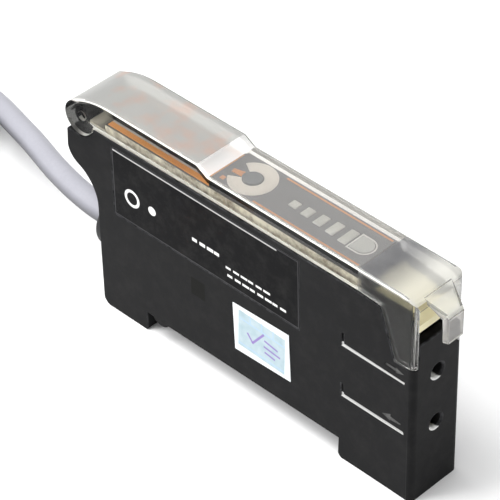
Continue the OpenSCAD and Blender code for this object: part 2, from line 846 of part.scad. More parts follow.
module mode_slider() {
    color([0.92, 0.92, 0.88])
        switch_slider(mode_x);
}

module mode_switch_body() {
    color([0.12, 0.12, 0.13])
        switch_body(mode_x);
}

module level_windows() {
    color([0.9, 0.92, 0.92])
        translate([0, 0, window_low_z])
            linear_extrude(film_z - window_low_z)
                for (i = [0:level_count - 1])
                    level_plan(i, 0);
}

module operation_window() {
    color([0.9, 0.92, 0.92])
        translate([0, 0, window_low_z])
            linear_extrude(film_z - window_low_z)
                operation_plan(0);
}

module level_leds() {
    led_l = 1.2;
    led_h = 0.8;
    color([0.9, 0.85, 0.6])
        for (back = concat([operation_back], [for (i = [0:level_count - 1]) level_back + level_pitch * i]))
            block([panel_front_x - back - led_l / 2, board_y, board_top_z],
                [panel_front_x - back + led_l / 2, board_y + board_t, board_top_z + led_h]);
}

module circuit_board() {
    color([0.1, 0.35, 0.2])
        block([board_rear_x, board_y, floor_z], [board_front_x, board_y + board_t, board_top_z]);
}

module amplifier_chip() {
    chip_l = 5;
    chip_h = 4;
    chip_t = 1.2;
    color([0.1, 0.1, 0.1])
        translate([(board_front_x + board_rear_x) / 2, board_y - chip_t / 2, (board_top_z + floor_z) / 2])
            cube([chip_l, chip_t, chip_h], center = true);
}

// Optical part behind a fibre bore, standing on the board
module optic(z) {
    bar_x(0, z, optic_r, optic_x - optic_l, optic_x);
    block([optic_x - optic_l, 0, z - optic_r / 2], [optic_x - optic_l / 2, board_y, z + optic_r / 2]);
}

module emitter_led() {
    color([0.85, 0.3, 0.3])
        optic(upper_fibre_z);
}

module photodiode() {
    color([0.3, 0.3, 0.35])
        optic(fibre_z);
}

module fibre_holder() {
    color([0.85, 0.82, 0.7])
        difference() {
            block([holder_rear_x, -holder_half, floor_z],
                [bay_front_x - slip_gap, holder_half, holder_top_z]);
            for (z = [fibre_z, upper_fibre_z])
                bar_x(0, z, fibre_r, holder_rear_x - cut, front_x);
        }
}

module fibre_clamp() {
    half_l = lever_hub_r - slip_gap;
    clamp_half = holder_half - clamp_side_gap;
    color([0.75, 0.72, 0.65])
        block([lever_x - half_l, -clamp_half, holder_top_z], [lever_x + half_l, clamp_half, clamp_top_z]);
}

module lock_lever() {
    tip_low = lever_tip_z - lever_tip_t;
    color([0.9, 0.86, 0.7])
        difference() {
            union() {
                slab(-lever_half, lever_half) {
                    translate([lever_x, lever_pin_z])
                        circle(lever_hub_r);
                    polygon([[lever_x, lever_pin_z + lever_hub_r], [lever_x, lever_pin_z - lever_hub_r / 2],
                        [lever_tip_x, tip_low], [lever_tip_x, lever_tip_z]]);
                }
                block([lever_tab_x, -slot_half + slip_gap, tip_low],
                    [lever_tip_x, slot_half - slip_gap, lever_tip_z]);
            }
            bar_y(lever_x, lever_pin_z, lever_pin_r + run_gap, near_y, half_w);
        }
}

module lever_pin() {
    reach = front_bay_half + lever_pin_in;
    color([0.7, 0.7, 0.72])
        bar_y(lever_x, lever_pin_z, lever_pin_r, -reach, reach);
}

module cable_boot() {
    wall_in = bay_rear_x - rear_low_x;
    color([0.08, 0.08, 0.08])
        translate([rear_low_x, 0, cable_z])
            rotate([0, -90, 0])
                rotate_extrude()
                    polygon(concat([[0, -wall_in - boot_flange_t], [boot_flange_r, -wall_in - boot_flange_t],
                        [boot_flange_r, -wall_in], [boot_neck_r, -wall_in], [boot_neck_r, 0],
                        [boot_d / 2, 0]],
                        arc(boot_d / 2 - boot_round, boot_l - boot_round, boot_round, 0, 90, 5),
                        [[0, boot_l]]));
}

module nameplate() {
    color([0.06, 0.06, 0.07])
        block([plate_x + plate_gap, near_y + plate_gap, plate_z + plate_gap],
            [plate_x + plate_l - plate_gap, near_y + plate_gap + plate_t, plate_top_z - plate_gap]);
}

module date_sticker() {
    color([0.93, 0.95, 0.97])
        translate([sticker_x, near_y - sticker_t, sticker_z])
            rotate([0, -sticker_turn, 0])
                translate([-sticker_l / 2, 0, -sticker_h / 2])
                    cube([sticker_l, sticker_t, sticker_h]);
}

module cable() {
    color([0.72, 0.71, 0.75])
        tube(cable_route, cable_d, cable_sides);
}

// Section of the coil, grown by a gap and lifted off the ground
function coil_section(gap, base) = let (r0 = coil_r - coil_half - gap, r1 = coil_r + coil_half + gap,
    h = coil_h + gap, e = cable_d / 3)
    [[r0 + e, base], [r1 - e, base], [r1, base + e], [r1, h - coil_shoulder], [r1 - cable_d, h],
    [r0 + e, h], [r0, h - e], [r0, base + e]];

module cable_coil() {
    color([0.72, 0.71, 0.75])
        translate([coil_at[0], coil_at[1], 0])
            rotate_extrude($fn = 72)
                polygon(coil_section(0, 0));
}

module cable_tail() {
    color([0.72, 0.71, 0.75])
        tube(tail_route, cable_d, cable_sides);
}

module cable_tie() {
    color([0.1, 0.1, 0.1])
        translate([coil_at[0], coil_at[1], 0])
            rotate(tie_angle)
                slab(-tie_w / 2, tie_w / 2)
                    difference() {
                        polygon(coil_section(tie_t, 0));
                        polygon(coil_section(0, tie_t));
                    }
}

module brown_wire() {
    color([0.4, 0.22, 0.12])
        tube(brown_route, wire_d, wire_sides);
}

module blue_wire() {
    color([0.15, 0.3, 0.65])
        tube(blue_route, wire_d, wire_sides);
}

module black_wire() {
    color([0.05, 0.05, 0.05])
        tube(black_route, wire_d, wire_sides);
}

module wire_strands() {
    color([0.8, 0.5, 0.3])
        for (p = [brown_route, blue_route, black_route]) {
            tip = end_of(p);
            tube([tip, tip + route_dir(p, len(p) - 1) * strand_l], strand_d, wire_sides);
        }
}

case();
cover();
control_panel();
control_label();
scale_ring();
dial_pointer();
adjuster_screw();
adjuster_body();
timer_slider();
timer_switch_body();
mode_slider();
mode_switch_body();
level_windows();
operation_window();
level_leds();
circuit_board();
amplifier_chip();
emitter_led();
photodiode();
fibre_holder();
fibre_clamp();
lock_lever();
lever_pin();
cable_boot();
nameplate();
date_sticker();
cable();
cable_coil();
cable_tail();
cable_tie();
brown_wire();
blue_wire();
black_wire();
wire_strands();
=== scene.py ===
import math

import bmesh
import bpy
from mathutils import Matrix, Vector


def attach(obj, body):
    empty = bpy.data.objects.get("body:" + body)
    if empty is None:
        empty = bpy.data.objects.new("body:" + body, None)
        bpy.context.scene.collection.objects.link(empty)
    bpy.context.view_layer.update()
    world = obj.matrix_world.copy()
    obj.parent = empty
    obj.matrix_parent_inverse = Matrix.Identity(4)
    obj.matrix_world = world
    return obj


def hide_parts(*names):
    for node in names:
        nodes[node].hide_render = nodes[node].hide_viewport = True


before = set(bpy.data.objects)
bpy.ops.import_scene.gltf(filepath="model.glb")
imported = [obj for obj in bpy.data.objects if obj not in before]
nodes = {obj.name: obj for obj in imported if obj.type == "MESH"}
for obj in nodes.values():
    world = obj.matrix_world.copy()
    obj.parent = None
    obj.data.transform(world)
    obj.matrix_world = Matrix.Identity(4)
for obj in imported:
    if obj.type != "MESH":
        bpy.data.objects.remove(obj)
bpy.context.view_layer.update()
scene = bpy.context.scene
mm = 0.001
slack = 0.00001  # metres, for telling which face a vertex is on
soft = 0.05  # mm in which print fades out
crease = math.radians(40)  # edges over this stay sharp
upward = Vector((0, 0, 1))
print("frame loaded:", len(nodes), "nodes")

# camera, fitted to the photograph's edges
cameraSet = {
    "azimuth": 45.484, "elevation": 40.0, "roll": -1.315,  # degrees
    "distance": 0.39949, "target": (0.003, 0, 0.015), "lens": 199.28, "sensor": 36,
    "clip": (0.01, 20), "aside": 0.004476, "lift": 0.008641,  # frame centre against the target
}


def placeCamera(s):
    az, el, roll = (math.radians(s[k]) for k in ("azimuth", "elevation", "roll"))
    back = Vector((math.sin(az) * math.cos(el), -math.cos(az) * math.cos(el), math.sin(el)))
    right = upward.cross(back).normalized()
    up = back.cross(right)
    side = right * math.cos(roll) + up * math.sin(roll)
    top = up * math.cos(roll) - right * math.sin(roll)
    place = Vector(s["target"]) + back * s["distance"] - side * s["aside"] + top * s["lift"]
    data = bpy.data.cameras.new("photoCamera")
    data.lens, data.sensor_width = s["lens"], s["sensor"]
    data.clip_start, data.clip_end = s["clip"]
    camera = bpy.data.objects.new("photoCamera", data)
    turn = Matrix((side, top, back)).transposed().to_4x4()
    camera.matrix_world = Matrix.Translation(place) @ turn
    scene.collection.objects.link(camera)
    scene.camera = camera


placeCamera(cameraSet)
print("camera placed")


def linkMesh(name, mesh):
    obj = bpy.data.objects.new(name, mesh)
    scene.collection.objects.link(obj)
    return obj


def smoothMesh(mesh):
    mesh.polygons.foreach_set("use_smooth", [True] * len(mesh.polygons))
    mesh.set_sharp_from_angle(angle=crease)


def linkShape(name, bm):
    mesh = bpy.data.meshes.new(name)
    bm.to_mesh(mesh)
    bm.free()
    smoothMesh(mesh)
    return linkMesh(name, mesh)


def applyModifier(obj, modifier):
    bpy.context.view_layer.update()
    shaped = obj.evaluated_get(bpy.context.evaluated_depsgraph_get())
    obj.data = bpy.data.meshes.new_from_object(shaped)
    obj.modifiers.remove(modifier)
    obj.data.name = obj.name


def curvePoints(points, step):
    pts = [Vector(p) for p in points]  # smooth line through the points, about one step apart
    ends = [2 * pts[0] - pts[1]] + pts + [2 * pts[-1] - pts[-2]]
    line = []
    for a, b, c, d in zip(ends, ends[1:], ends[2:], ends[3:]):
        count = max(1, round((c - b).length / step))
        for k in range(count):
            t = k / count
            line.append(0.5 * (2 * b + (c - a) * t + (2 * a - 5 * b + 4 * c - d) * t * t
                               + (3 * b - a - 3 * c + d) * t * t * t))
    return line + [pts[-1]]


def layTube(name, line, s):
    radius, sides = s["diameter"] / 2, s["sides"]
    bm = bmesh.new()
    uv = bm.loops.layers.uv.new("sheathMap")
    turn = [2 * math.pi * k / sides for k in range(sides)]
    rings, along = [], [0.0]
    for i, p in enumerate(line):
        ahead = (line[min(i + 1, len(line) - 1)] - line[max(i - 1, 0)]).normalized()
        side = ahead.cross(upward).normalized()
        up = side.cross(ahead)
        rings.append([bm.verts.new(p + (side * math.cos(a) + up * math.sin(a)) * radius)
                      for a in turn])
        if i:
            along.append(along[-1] + (p - line[i - 1]).length)
    for i in range(len(rings) - 1):
        for k in range(sides):
            n = (k + 1) % sides
            face = bm.faces.new((rings[i][k], rings[i + 1][k], rings[i + 1][n], rings[i][n]))
            corners = ((k, i), (k, i + 1), (k + 1, i + 1), (k + 1, i))
            for loop, (u, v) in zip(face.loops, corners):
                loop[uv].uv = (u / sides, along[v] * 100)  # once round, and in centimetres along
    bm.faces.new(rings[0])
    bm.faces.new(rings[-1][::-1])
    bmesh.ops.recalc_face_normals(bm, faces=bm.faces)
    return linkShape(name, bm)


# cable, from the boot to the stripped end, with its spare length in a coil
cableSet = {
    "diameter": 0.004, "length": 2.0, "sides": 20, "step": 0.002,
    "route": [(-0.0322, 0, 0.0125), (-0.036, 0, 0.0125), (-0.04, 0.0004, 0.0125),
              (-0.044, 0.0012, 0.01229), (-0.0485, 0.0025, 0.01177), (-0.053, 0.0041, 0.01113),
              (-0.0575, 0.0058, 0.0103), (-0.062, 0.0074, 0.00935), (-0.0665, 0.009, 0.00841),
              (-0.071, 0.0106, 0.00736), (-0.0755, 0.012, 0.0062), (-0.08, 0.0132, 0.00505),
              (-0.0845, 0.0141, 0.00389), (-0.089, 0.0147, 0.00284), (-0.0932, 0.015, 0.00221)],
    "tail": [(-0.096, -0.035, 0.014), (-0.089, -0.036, 0.014), (-0.082, -0.0369, 0.01352),
             (-0.075, -0.0376, 0.01136), (-0.068, -0.0381, 0.00788), (-0.061, -0.0384, 0.0044),
             (-0.055, -0.0384, 0.0026), (-0.05, -0.0384, 0.002)],
    "coilAt": (-0.097, -0.0118), "rowRise": 0.004,
    "rows": [[0.0268, 0.0228, 0.0188, 0.0148], [0.0148, 0.0188, 0.0228, 0.0268],
             [0.0268, 0.0228, 0.0188, 0.0148], [0.0148, 0.0188, 0.0228]],
    "from": 90, "to": 255, "every": 10, "shiftAt": 40, "shiftWide": 100,  # degrees round the coil
}


def coilPoints(s):
    turns = [(r, s["diameter"] / 2 + i * s["rowRise"])
             for i, row in enumerate(s["rows"]) for r in row]
    first = s["shiftAt"] + 360  # where the first turn gives way to the second
    last = first + 360 * (len(turns) - 2) + (s["to"] - s["shiftAt"])
    points, angle = [], s["from"]
    while angle <= last:
        place = (angle - first) / 360 + 1
        k = max(0, min(len(turns) - 2, math.floor(place + s["shiftWide"] / 720) - 1))
        t = (angle - (first + 360 * k)) / s["shiftWide"] + 0.5
        t = max(0.0, min(1.0, t))
        t = t * t * (3 - 2 * t)
        r, z = (now * (1 - t) + after * t for now, after in zip(turns[k], turns[k + 1]))
        a = math.radians(angle)
        points.append((s["coilAt"][0] + r * math.cos(a), s["coilAt"][1] + r * math.sin(a), z))
        angle += s["every"]
    return points


cablePoints = cableSet["route"] + coilPoints(cableSet) + cableSet["tail"]
cableLine = curvePoints(cablePoints, cableSet["step"])
cable = layTube("sheathedCable", cableLine, cableSet)
print("cable laid:", round(sum((b - a).length for a, b in zip(cableLine, cableLine[1:])), 3), "m")

coreSet = {
    "diameter": 0.0013, "sides": 12, "step": 0.001,
    "brown": [(-0.0507, -0.0391, 0.0016), (-0.05, -0.0392, 0.0015), (-0.0465, -0.0394, 0.0011),
              (-0.0425, -0.0391, 0.0008), (-0.0385, -0.0384, 0.0007), (-0.0345, -0.0374, 0.0007)],
    "blue": [(-0.0507, -0.0378, 0.0015), (-0.05, -0.0376, 0.00141), (-0.0468, -0.0367, 0.0011),
             (-0.0433, -0.035, 0.0008), (-0.04, -0.0328, 0.0007), (-0.037, -0.03, 0.0007)],
    "black": [(-0.0507, -0.0384, 0.0028), (-0.05, -0.0384, 0.0027), (-0.0463, -0.0382, 0.00241),
              (-0.0422, -0.0375, 0.00141), (-0.0384, -0.0361, 0.0007), (-0.035, -0.034, 0.0007)],
}
cores = {}
for colour in ("brown", "blue", "black"):
    coreLine = curvePoints(coreSet[colour], coreSet["step"])
    cores[colour] = layTube(colour + "Core", coreLine, coreSet)
    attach(cores[colour], "housing")
    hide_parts(colour + "_wire")

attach(cable, "housing")
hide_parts("cable", "cable_coil", "cable_tail")


# node trees
def newTree(name, kind, inputs, outputs):
    tree = bpy.data.node_groups.new(name, kind)
    for label, socket, value in inputs:
        given = tree.interface.new_socket(label, in_out="INPUT", socket_type="NodeSocket" + socket)
        given.default_value = value
    for label, socket in outputs:
        tree.interface.new_socket(label, in_out="OUTPUT", socket_type="NodeSocket" + socket)
    return tree, tree.nodes.new("NodeGroupInput").outputs, tree.nodes.new("NodeGroupOutput")


def feed(tree, node, feeds):
    for key, value in feeds.items():
        if isinstance(value, bpy.types.NodeSocket):
            tree.links.new(value, node.inputs[key])
        else:
            node.inputs[key].default_value = value
    return node.outputs


def addNode(tree, kind, feeds=None, **settings):
    node = tree.nodes.new(kind if "Node" in kind else "ShaderNode" + kind)
    for key, value in settings.items():
        setattr(node, key, value)
    return feed(tree, node, feeds or {})


def mathNode(tree, operation, a, b=0.0, c=0.0):
    return addNode(tree, "Math", {0: a, 1: b, 2: c}, operation=operation)[0]


def multiply(tree, product, *others):
    for other in others:
        product = mathNode(tree, "MULTIPLY", product, other)
    return product


def between(tree, value, low, high):
    return multiply(tree, mathNode(tree, "GREATER_THAN", value, low),
                    mathNode(tree, "LESS_THAN", value, high))


def ramp(tree, value, low, high, top=1.0, base=0.0, **settings):
    return addNode(tree, "MapRange", {"Value": value, "From Min": low, "From Max": high,
                                      "To Min": base, "To Max": top}, **settings)[0]


def noise(tree, place, scale, detail, rough=0.5):
    return addNode(tree, "TexNoise", {"Vector": place, "Scale": scale, "Detail": detail,
                                      "Roughness": rough})["Fac"]


def vectorMath(tree, operation, a, b=(0, 0, 0)):
    return addNode(tree, "VectorMath", {0: a, 1: b}, operation=operation)


def rgba(colour):
    return colour if isinstance(colour, bpy.types.NodeSocket) else (*colour, 1)


def mixColour(tree, factor, a, b, blend="MIX"):
    return addNode(tree, "Mix", {0: factor, 6: rgba(a), 7: rgba(b)}, data_type="RGBA",
                   blend_type=blend)[2]


def bumpNode(tree, height, depth):
    return addNode(tree, "Bump", {"Height": height, "Strength": 1.0, "Distance": depth})[0]


def placeInMm(tree):
    place = addNode(tree, "TexCoord")["Object"]
    return addNode(tree, "VectorMath", {0: place, "Scale": 1 / mm}, operation="SCALE")[0]


def splitPlace(tree):
    return addNode(tree, "SeparateXYZ", {0: placeInMm(tree)})


def flat(tree, across, up):
    return addNode(tree, "CombineXYZ", {0: across, 1: up})[0]


def flatPlace(tree, across, up):
    parts = splitPlace(tree)
    return flat(tree, parts[across], parts[up])


def distance(tree, place, centre=(0, 0)):
    away = vectorMath(tree, "SUBTRACT", place, (*centre, 0))[0]
    return vectorMath(tree, "LENGTH", away)["Value"]


# shader groups that the materials share
def makeMouldGrain():
    group, given, made = newTree(
        "mouldGrain", "ShaderNodeTree",
        [("Base Color", "Color", (0.5, 0.5, 0.5, 1)), ("Roughness", "Float", 0.4),
         ("Grain Size", "Float", 0.25), ("Shade Spread", "Float", 0.1),
         ("Gloss Spread", "Float", 0.12)],
        [("Base Color", "Color"), ("Roughness", "Float"), ("Height", "Float")])
    place = placeInMm(group)
    fine = noise(group, place, mathNode(group, "DIVIDE", 1.0, given["Grain Size"]), 3.0, 0.6)
    offset = mathNode(group, "SUBTRACT", noise(group, place, 0.22, 4.0, 0.55), 0.5)
    shade = mathNode(group, "MULTIPLY_ADD", offset, given["Shade Spread"], 1.0)
    speck = mathNode(group, "MULTIPLY_ADD", mathNode(group, "SUBTRACT", fine, 0.5), 0.12, shade)
    tone = addNode(group, "CombineColor", {0: speck, 1: speck, 2: speck})[0]
    feed(group, made, {
        "Base Color": mixColour(group, 1.0, given["Base Color"], tone, "MULTIPLY"),
        "Roughness": mathNode(group, "MULTIPLY_ADD", offset, given["Gloss Spread"],
                              given["Roughness"]),
        "Height": fine})
    return group


def makeFilm(name, tintName, tint, amount, gloss, spread):
    group, given, made = newTree(
        name, "ShaderNodeTree",
        [("Base Color", "Color", (0, 0, 0, 1)), ("Roughness", "Float", 0.4),
         (tintName, "Color", rgba(tint)), ("Amount", "Float", amount)],
        [("Base Color", "Color"), ("Roughness", "Float")])
    share = multiply(group, spread(group, placeInMm(group)), given["Amount"])
    feed(group, made, {
        "Base Color": mixColour(group, share, given["Base Color"], given[tintName]),
        "Roughness": mathNode(group, "MULTIPLY_ADD", share, gloss, given["Roughness"])})
    return group


def wornEdges(group, place):
    band = addNode(group, "Attribute", attribute_name="edgeBand")["Fac"]
    return multiply(group, band, ramp(group, noise(group, place, 0.9, 5.0, 0.7), 0.38, 0.62))


def dustAndSpecks(group, place):
    film = ramp(group, noise(group, place, 0.5, 6.0, 0.7), 0.45, 0.8, 0.5)
    cells = addNode(group, "TexVoronoi", {"Vector": place, "Scale": 0.8, "Randomness": 1.0})
    return mathNode(group, "MAXIMUM", film, ramp(group, cells["Distance"], 0.05, 0.02))


def makePrintRect():
    group, given, made = newTree(
        "printRect", "ShaderNodeTree",
        [("Place", "Vector", (0, 0, 0)), ("Centre", "Vector", (0, 0, 0)),
         ("Half", "Vector", (1, 1, 0)), ("Edge", "Float", 0.06)],
        [("Mask", "Float")])
    away = vectorMath(group, "SUBTRACT", given["Place"], given["Centre"])[0]
    past = vectorMath(group, "SUBTRACT", vectorMath(group, "ABSOLUTE", away)[0], given["Half"])[0]
    parts = addNode(group, "SeparateXYZ", {0: past})
    worst = mathNode(group, "MAXIMUM", parts[0], parts[1])
    feed(group, made, {"Mask": ramp(group, worst, given["Edge"], 0.0)})
    return group


groups = {
    "mouldGrain": makeMouldGrain(), "printRect": makePrintRect(),
    "edgeWear": makeFilm("edgeWear", "Worn Color", (0.2, 0.2, 0.2), 0.5, -0.12, wornEdges),
    "dustHaze": makeFilm("dustHaze", "Dust Color", (0.5, 0.48, 0.45), 0.3, 0.4, dustAndSpecks),
}
print("shader groups made:", len(groups))


def addGroup(tree, name, feeds):
    return addNode(tree, "Group", feeds, node_tree=groups[name])


def newMaterial(name, values):
    material = bpy.data.materials.new(name)
    material.use_nodes = True
    tree = material.node_tree
    shader = tree.nodes["Principled BSDF"]
    feed(tree, shader, values)
    return material, tree, shader


def makePlastic(s):
    material, tree, shader = newMaterial(s["name"], {
        "Specular IOR Level": s.get("specular", 0.5), "Metallic": s.get("metallic", 0.0)})
    look = addGroup(tree, "mouldGrain", {
        "Base Color": rgba(s["colour"]), "Roughness": s["rough"], "Grain Size": s.get("grain", 0.2),
        "Shade Spread": s.get("spread", 0.15), "Gloss Spread": s.get("gloss", 0.12)})
    bump = bumpNode(tree, look["Height"], s.get("depth", 0.00001))
    films = []
    if "worn" in s:
        films.append(("edgeWear", {"Worn Color": rgba(s["worn"]), "Amount": s["wear"]}))
    if "dust" in s:
        films.append(("dustHaze", {"Amount": s["dust"]}))
    for film, feeds in films:
        look = addGroup(tree, film, {"Base Color": look["Base Color"],
                                     "Roughness": look["Roughness"], **feeds})
    feed(tree, shader, {"Base Color": look["Base Color"], "Roughness": look["Roughness"],
                        "Normal": bump})
    return material


def printOver(s, draw):
    material = makePlastic(s)
    tree = material.node_tree
    base = tree.nodes["Principled BSDF"].inputs["Base Color"]
    tree.links.new(draw(tree, s, base.links[0].from_socket), base)
    return material


def printMask(tree, place, rects, edge=soft):
    mask = None
    for centre, half in rects:
        one = addGroup(tree, "printRect", {"Place": place, "Centre": (*centre, 0),
                                           "Half": (*half, 0), "Edge": edge})["Mask"]
        mask = one if mask is None else mathNode(tree, "MAXIMUM", mask, one)
    return mask


def wear(target, *materials):
    worn = (nodes[target] if isinstance(target, str) else target).data.materials
    worn.clear()
    for material in materials:
        worn.append(material)


# CAD shapes with their outer edges eased
def easedCopy(name, node, body, s):
    bm = bmesh.new()
    bm.from_mesh(nodes[node].data)
    bmesh.ops.remove_doubles(bm, verts=bm.verts, dist=1e-6)
    bmesh.ops.dissolve_limit(bm, angle_limit=math.radians(0.5), verts=bm.verts, edges=bm.edges)
    if "cutAt" in s:  # a seam where the finish changes
        bmesh.ops.bisect_plane(bm, geom=bm.verts[:] + bm.edges[:] + bm.faces[:],
                               plane_co=(s["cutAt"] * mm, 0, 0), plane_no=(1, 0, 0))
    band = bm.faces.layers.float.new("edgeBand")
    over = math.radians(s["over"])
    for pick, ease, least in s["eases"]:
        bm.normal_update()
        picked = [e for e in bm.edges
                  if len(e.link_faces) == 2 and e.is_convex and e.calc_face_angle(0) > over
                  and e.calc_length() > least and pick(e)
                  and not any(f[band] for f in e.link_faces)]
        made = bmesh.ops.bevel(bm, geom=picked, offset=ease, segments=s["steps"], profile=0.5,
                               affect="EDGES", clamp_overlap=False, miter_outer="ARC")
        for face in made["faces"]:
            face[band] = 1.0
    obj = linkShape(name, bm)
    weigh = obj.modifiers.new("weigh", "WEIGHTED_NORMAL")  # keeps flat faces flat
    weigh.keep_sharp = True
    applyModifier(obj, weigh)
    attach(obj, body)
    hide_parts(node)
    return obj


def anyEdge(edge):
    return True


def onOutline(edge):
    side, front = (caseSet[k] * mm - slack for k in ("side", "front"))
    a, b = (v.co for v in edge.verts)
    return min(abs(a.y), abs(b.y)) > side or min(a.x, b.x) > front


def roundHole(edge):
    front, reach = caseSet["front"] * mm - slack, caseSet["holeReach"] * mm
    return all(v.co.x > front and any(math.hypot(v.co.y, v.co.z - z * mm) < reach
                                      for z in caseSet["bores"]) for v in edge.verts)


# case: fine matte moulding, worn a little along its outline, with painted highlights along the
# groove lines and a painted glint low in each bore
caseSet = {
    "over": 40, "eases": [(roundHole, 0.00035, 0), (onOutline, 0.00022, 0.0008)], "steps": 2,
    "name": "caseBlack", "colour": (0.008, 0.008, 0.0085), "rough": 0.42, "grain": 0.16,
    "spread": 0.35, "specular": 0.05, "worn": (0.075, 0.075, 0.08), "wear": 0.5, "dust": 0.03,
    "depth": 0.000006,
    # from here on in mm, each rectangle with its centre and half size
    "side": 5.0, "front": 33.0, "bores": [22.1, 12.6], "holeReach": 1.4, "boreWide": 1.65,
    "glint": (0.75, 0.75, 0.73), "glintDrop": (1.0, 1.2), "glintLean": 0.5,  # low in each bore
    # painted highlight: the groove lines are painted light grey as if their lower walls caught the
    # light; the arrow recesses are tinted paler
    "fills": [([((25.5, 21.98), (5.9, 0.3)), ((25.5, 12.48), (5.9, 0.3))], (0.55, 0.55, 0.54)),
              ([((28.6, 24.0), (2.8, 1.2)), ((28.6, 14.5), (2.8, 1.2))], (0.1, 0.1, 0.098))],
    "fillDepth": (0.01, 0.05, 0.5),  # starts, is full and ends, below the near face
    "mark": ((-9, 15), (1.4, 1.6)), "markColour": (0.003, 0.003, 0.002), "markShare": 0.8,
    "markDepth": 0.1, "bridge": ((-29.9, 33.5), (1.6, 0.22)), "bridgeColour": (0.6, 0.57, 0.48),
    "bridgeSide": 4.2,
}


def drawCase(tree, s, colour):
    x, y, z = splitPlace(tree)
    face, across = flat(tree, x, z), flat(tree, y, z)
    start, full, end = (depth - s["side"] for depth in s["fillDepth"])
    sunk = multiply(tree, ramp(tree, y, start, full), mathNode(tree, "LESS_THAN", y, end))
    # painted highlight along the groove lines, and the paler arrow recesses
    for rects, tint in s["fills"]:
        filled = multiply(tree, sunk, printMask(tree, face, rects))
        colour = mixColour(tree, filled, colour, tint)
    behind = mathNode(tree, "LESS_THAN", x, s["front"] - slack / mm)
    low = mathNode(tree, "MULTIPLY_ADD", y, s["glintLean"], z)
    for bore in s["bores"]:
        inside = mathNode(tree, "LESS_THAN", distance(tree, across, (0, bore)), s["boreWide"])
        lit = ramp(tree, low, *(bore - drop for drop in s["glintDrop"]))
        colour = mixColour(tree, multiply(tree, inside, behind, lit), colour, s["glint"])
    outer = mathNode(tree, "LESS_THAN", y, s["markDepth"] - s["side"])
    mark = multiply(tree, outer, printMask(tree, face, [s["mark"]]), s["markShare"])
    colour = mixColour(tree, mark, colour, s["markColour"])
    inner = mathNode(tree, "LESS_THAN", mathNode(tree, "ABSOLUTE", y), s["bridgeSide"])
    bridge = multiply(tree, inner, printMask(tree, face, [s["bridge"]]))
    return mixColour(tree, bridge, colour, s["bridgeColour"])


caseBody = easedCopy("caseBody", "case", "housing", caseSet)
wear(caseBody, printOver(caseSet, drawCase))


def alongTop(edge):
    up, out = ([abs(f.normal[k]) for f in edge.link_faces] for k in (2, 1))
    height = min(v.co.z for v in edge.verts)
    return (max(up) > coverSet["level"] and max(out) > coverSet["upright"]
            and height > coverSet["topHeight"] * mm)


# cover: clear moulding with a hazy, handled top, frosted over the hump and the nose; painted
# highlights along the near top edge, the undersides and the slope, painted shade along the far top
# edge and on the legs
coverSet = {
    "over": 28, "eases": [(alongTop, 0.00045, 0.0006), (anyEdge, 0.00015, 0.0006)], "steps": 3,
    "parts": {
        "wall": {"name": "coverClear", "tint": (0.9, 0.89, 0.86), "clear": 1.0, "ior": 1.16,
                 "rough": 0.03, "smoke": (0.1, 0.1, 0.095), "shade": (0.015, 0.015, 0.015)},
        "low": {"name": "coverHazy", "tint": (0.68, 0.66, 0.63), "clear": 0.84, "rough": 0.06},
        "hump": {"name": "coverHump", "tint": (0.37, 0.37, 0.355), "clear": 0.3, "rough": 0.36,
                 "blush": (0.47, 0.31, 0.25)},
        # painted highlight: a pale, frosted tint along the near top edge and the undersides
        "rim": {"name": "coverRimHighlight", "tint": (0.95, 0.94, 0.86), "clear": 0.35, "rough": 0.3},
        # painted highlight: the slope up to the hump is tinted pale
        "step": {"name": "coverStepHighlight", "tint": (0.9, 0.89, 0.88), "clear": 0.5, "rough": 0.4},
        "nose": {"name": "coverNose", "tint": (0.16, 0.16, 0.172), "clear": 0.62, "rough": 0.3,
                 "tipTint": (0.95, 0.94, 0.87)},
        # painted shade: a dark tint along the far top edge
        "far": {"name": "coverFarEdgeShade", "tint": (0.3, 0.3, 0.285), "clear": 0.6, "rough": 0.3},
        # painted shade: the legs are tinted dark, standing in for the black case seen through them
        "leg": {"name": "coverLegShade", "tint": (0.2, 0.2, 0.19), "clear": 0.93, "ior": 1.1,
                "rough": 0.33},
    },
    "haze": (0.96, 0.96, 0.95), "polish": 0.06, "smoothest": 0.015, "depth": 0.000006,
    # places in mm: along
    "cutAt": 22.6, "noseStart": 24.6, "noseTip": 31.6, "tongueAt": 33.1, "stepSpan": (-12, 0),
    "smokeSpan": (-32.0, -33.5), "humpEnds": (-27.0, -8.38, -6.28), "shadeFade": (1.5, 3),
    # across
    "edgeSide": 4.2, "legSide": 4, "footSide": 3.6, "shadeSide": 4.7,
    # up
    "tops": (38.4, 37.2), "topHeight": 33, "rimHeight": 36, "farHeight": 34, "footHeight": 29,
    "shadeDrop": 0.22, "shadeWide": 0.7,
    # how far a face looks up, to the side when upright, or ahead for the step
    "level": 0.5, "upright": 0.9, "rimLean": (0.4, 0.9), "farLean": (0.2, 0.97), "humpLean": 0.3,
    "stepLean": 0.25,
}


def edgeShade(tree, s, x, y, z):
    rear, humpEnd, lowStart = s["humpEnds"]
    start, end = s["shadeFade"]
    edge = ramp(tree, x, humpEnd, lowStart, s["tops"][1], s["tops"][0])
    under = mathNode(tree, "SUBTRACT", mathNode(tree, "SUBTRACT", edge, s["shadeDrop"]), z)
    return multiply(tree, between(tree, under, 0.0, s["shadeWide"]),
                    mathNode(tree, "LESS_THAN", y, -s["shadeSide"]),
                    ramp(tree, x, rear, rear + start), ramp(tree, x, s["cutAt"] + end, s["cutAt"]))


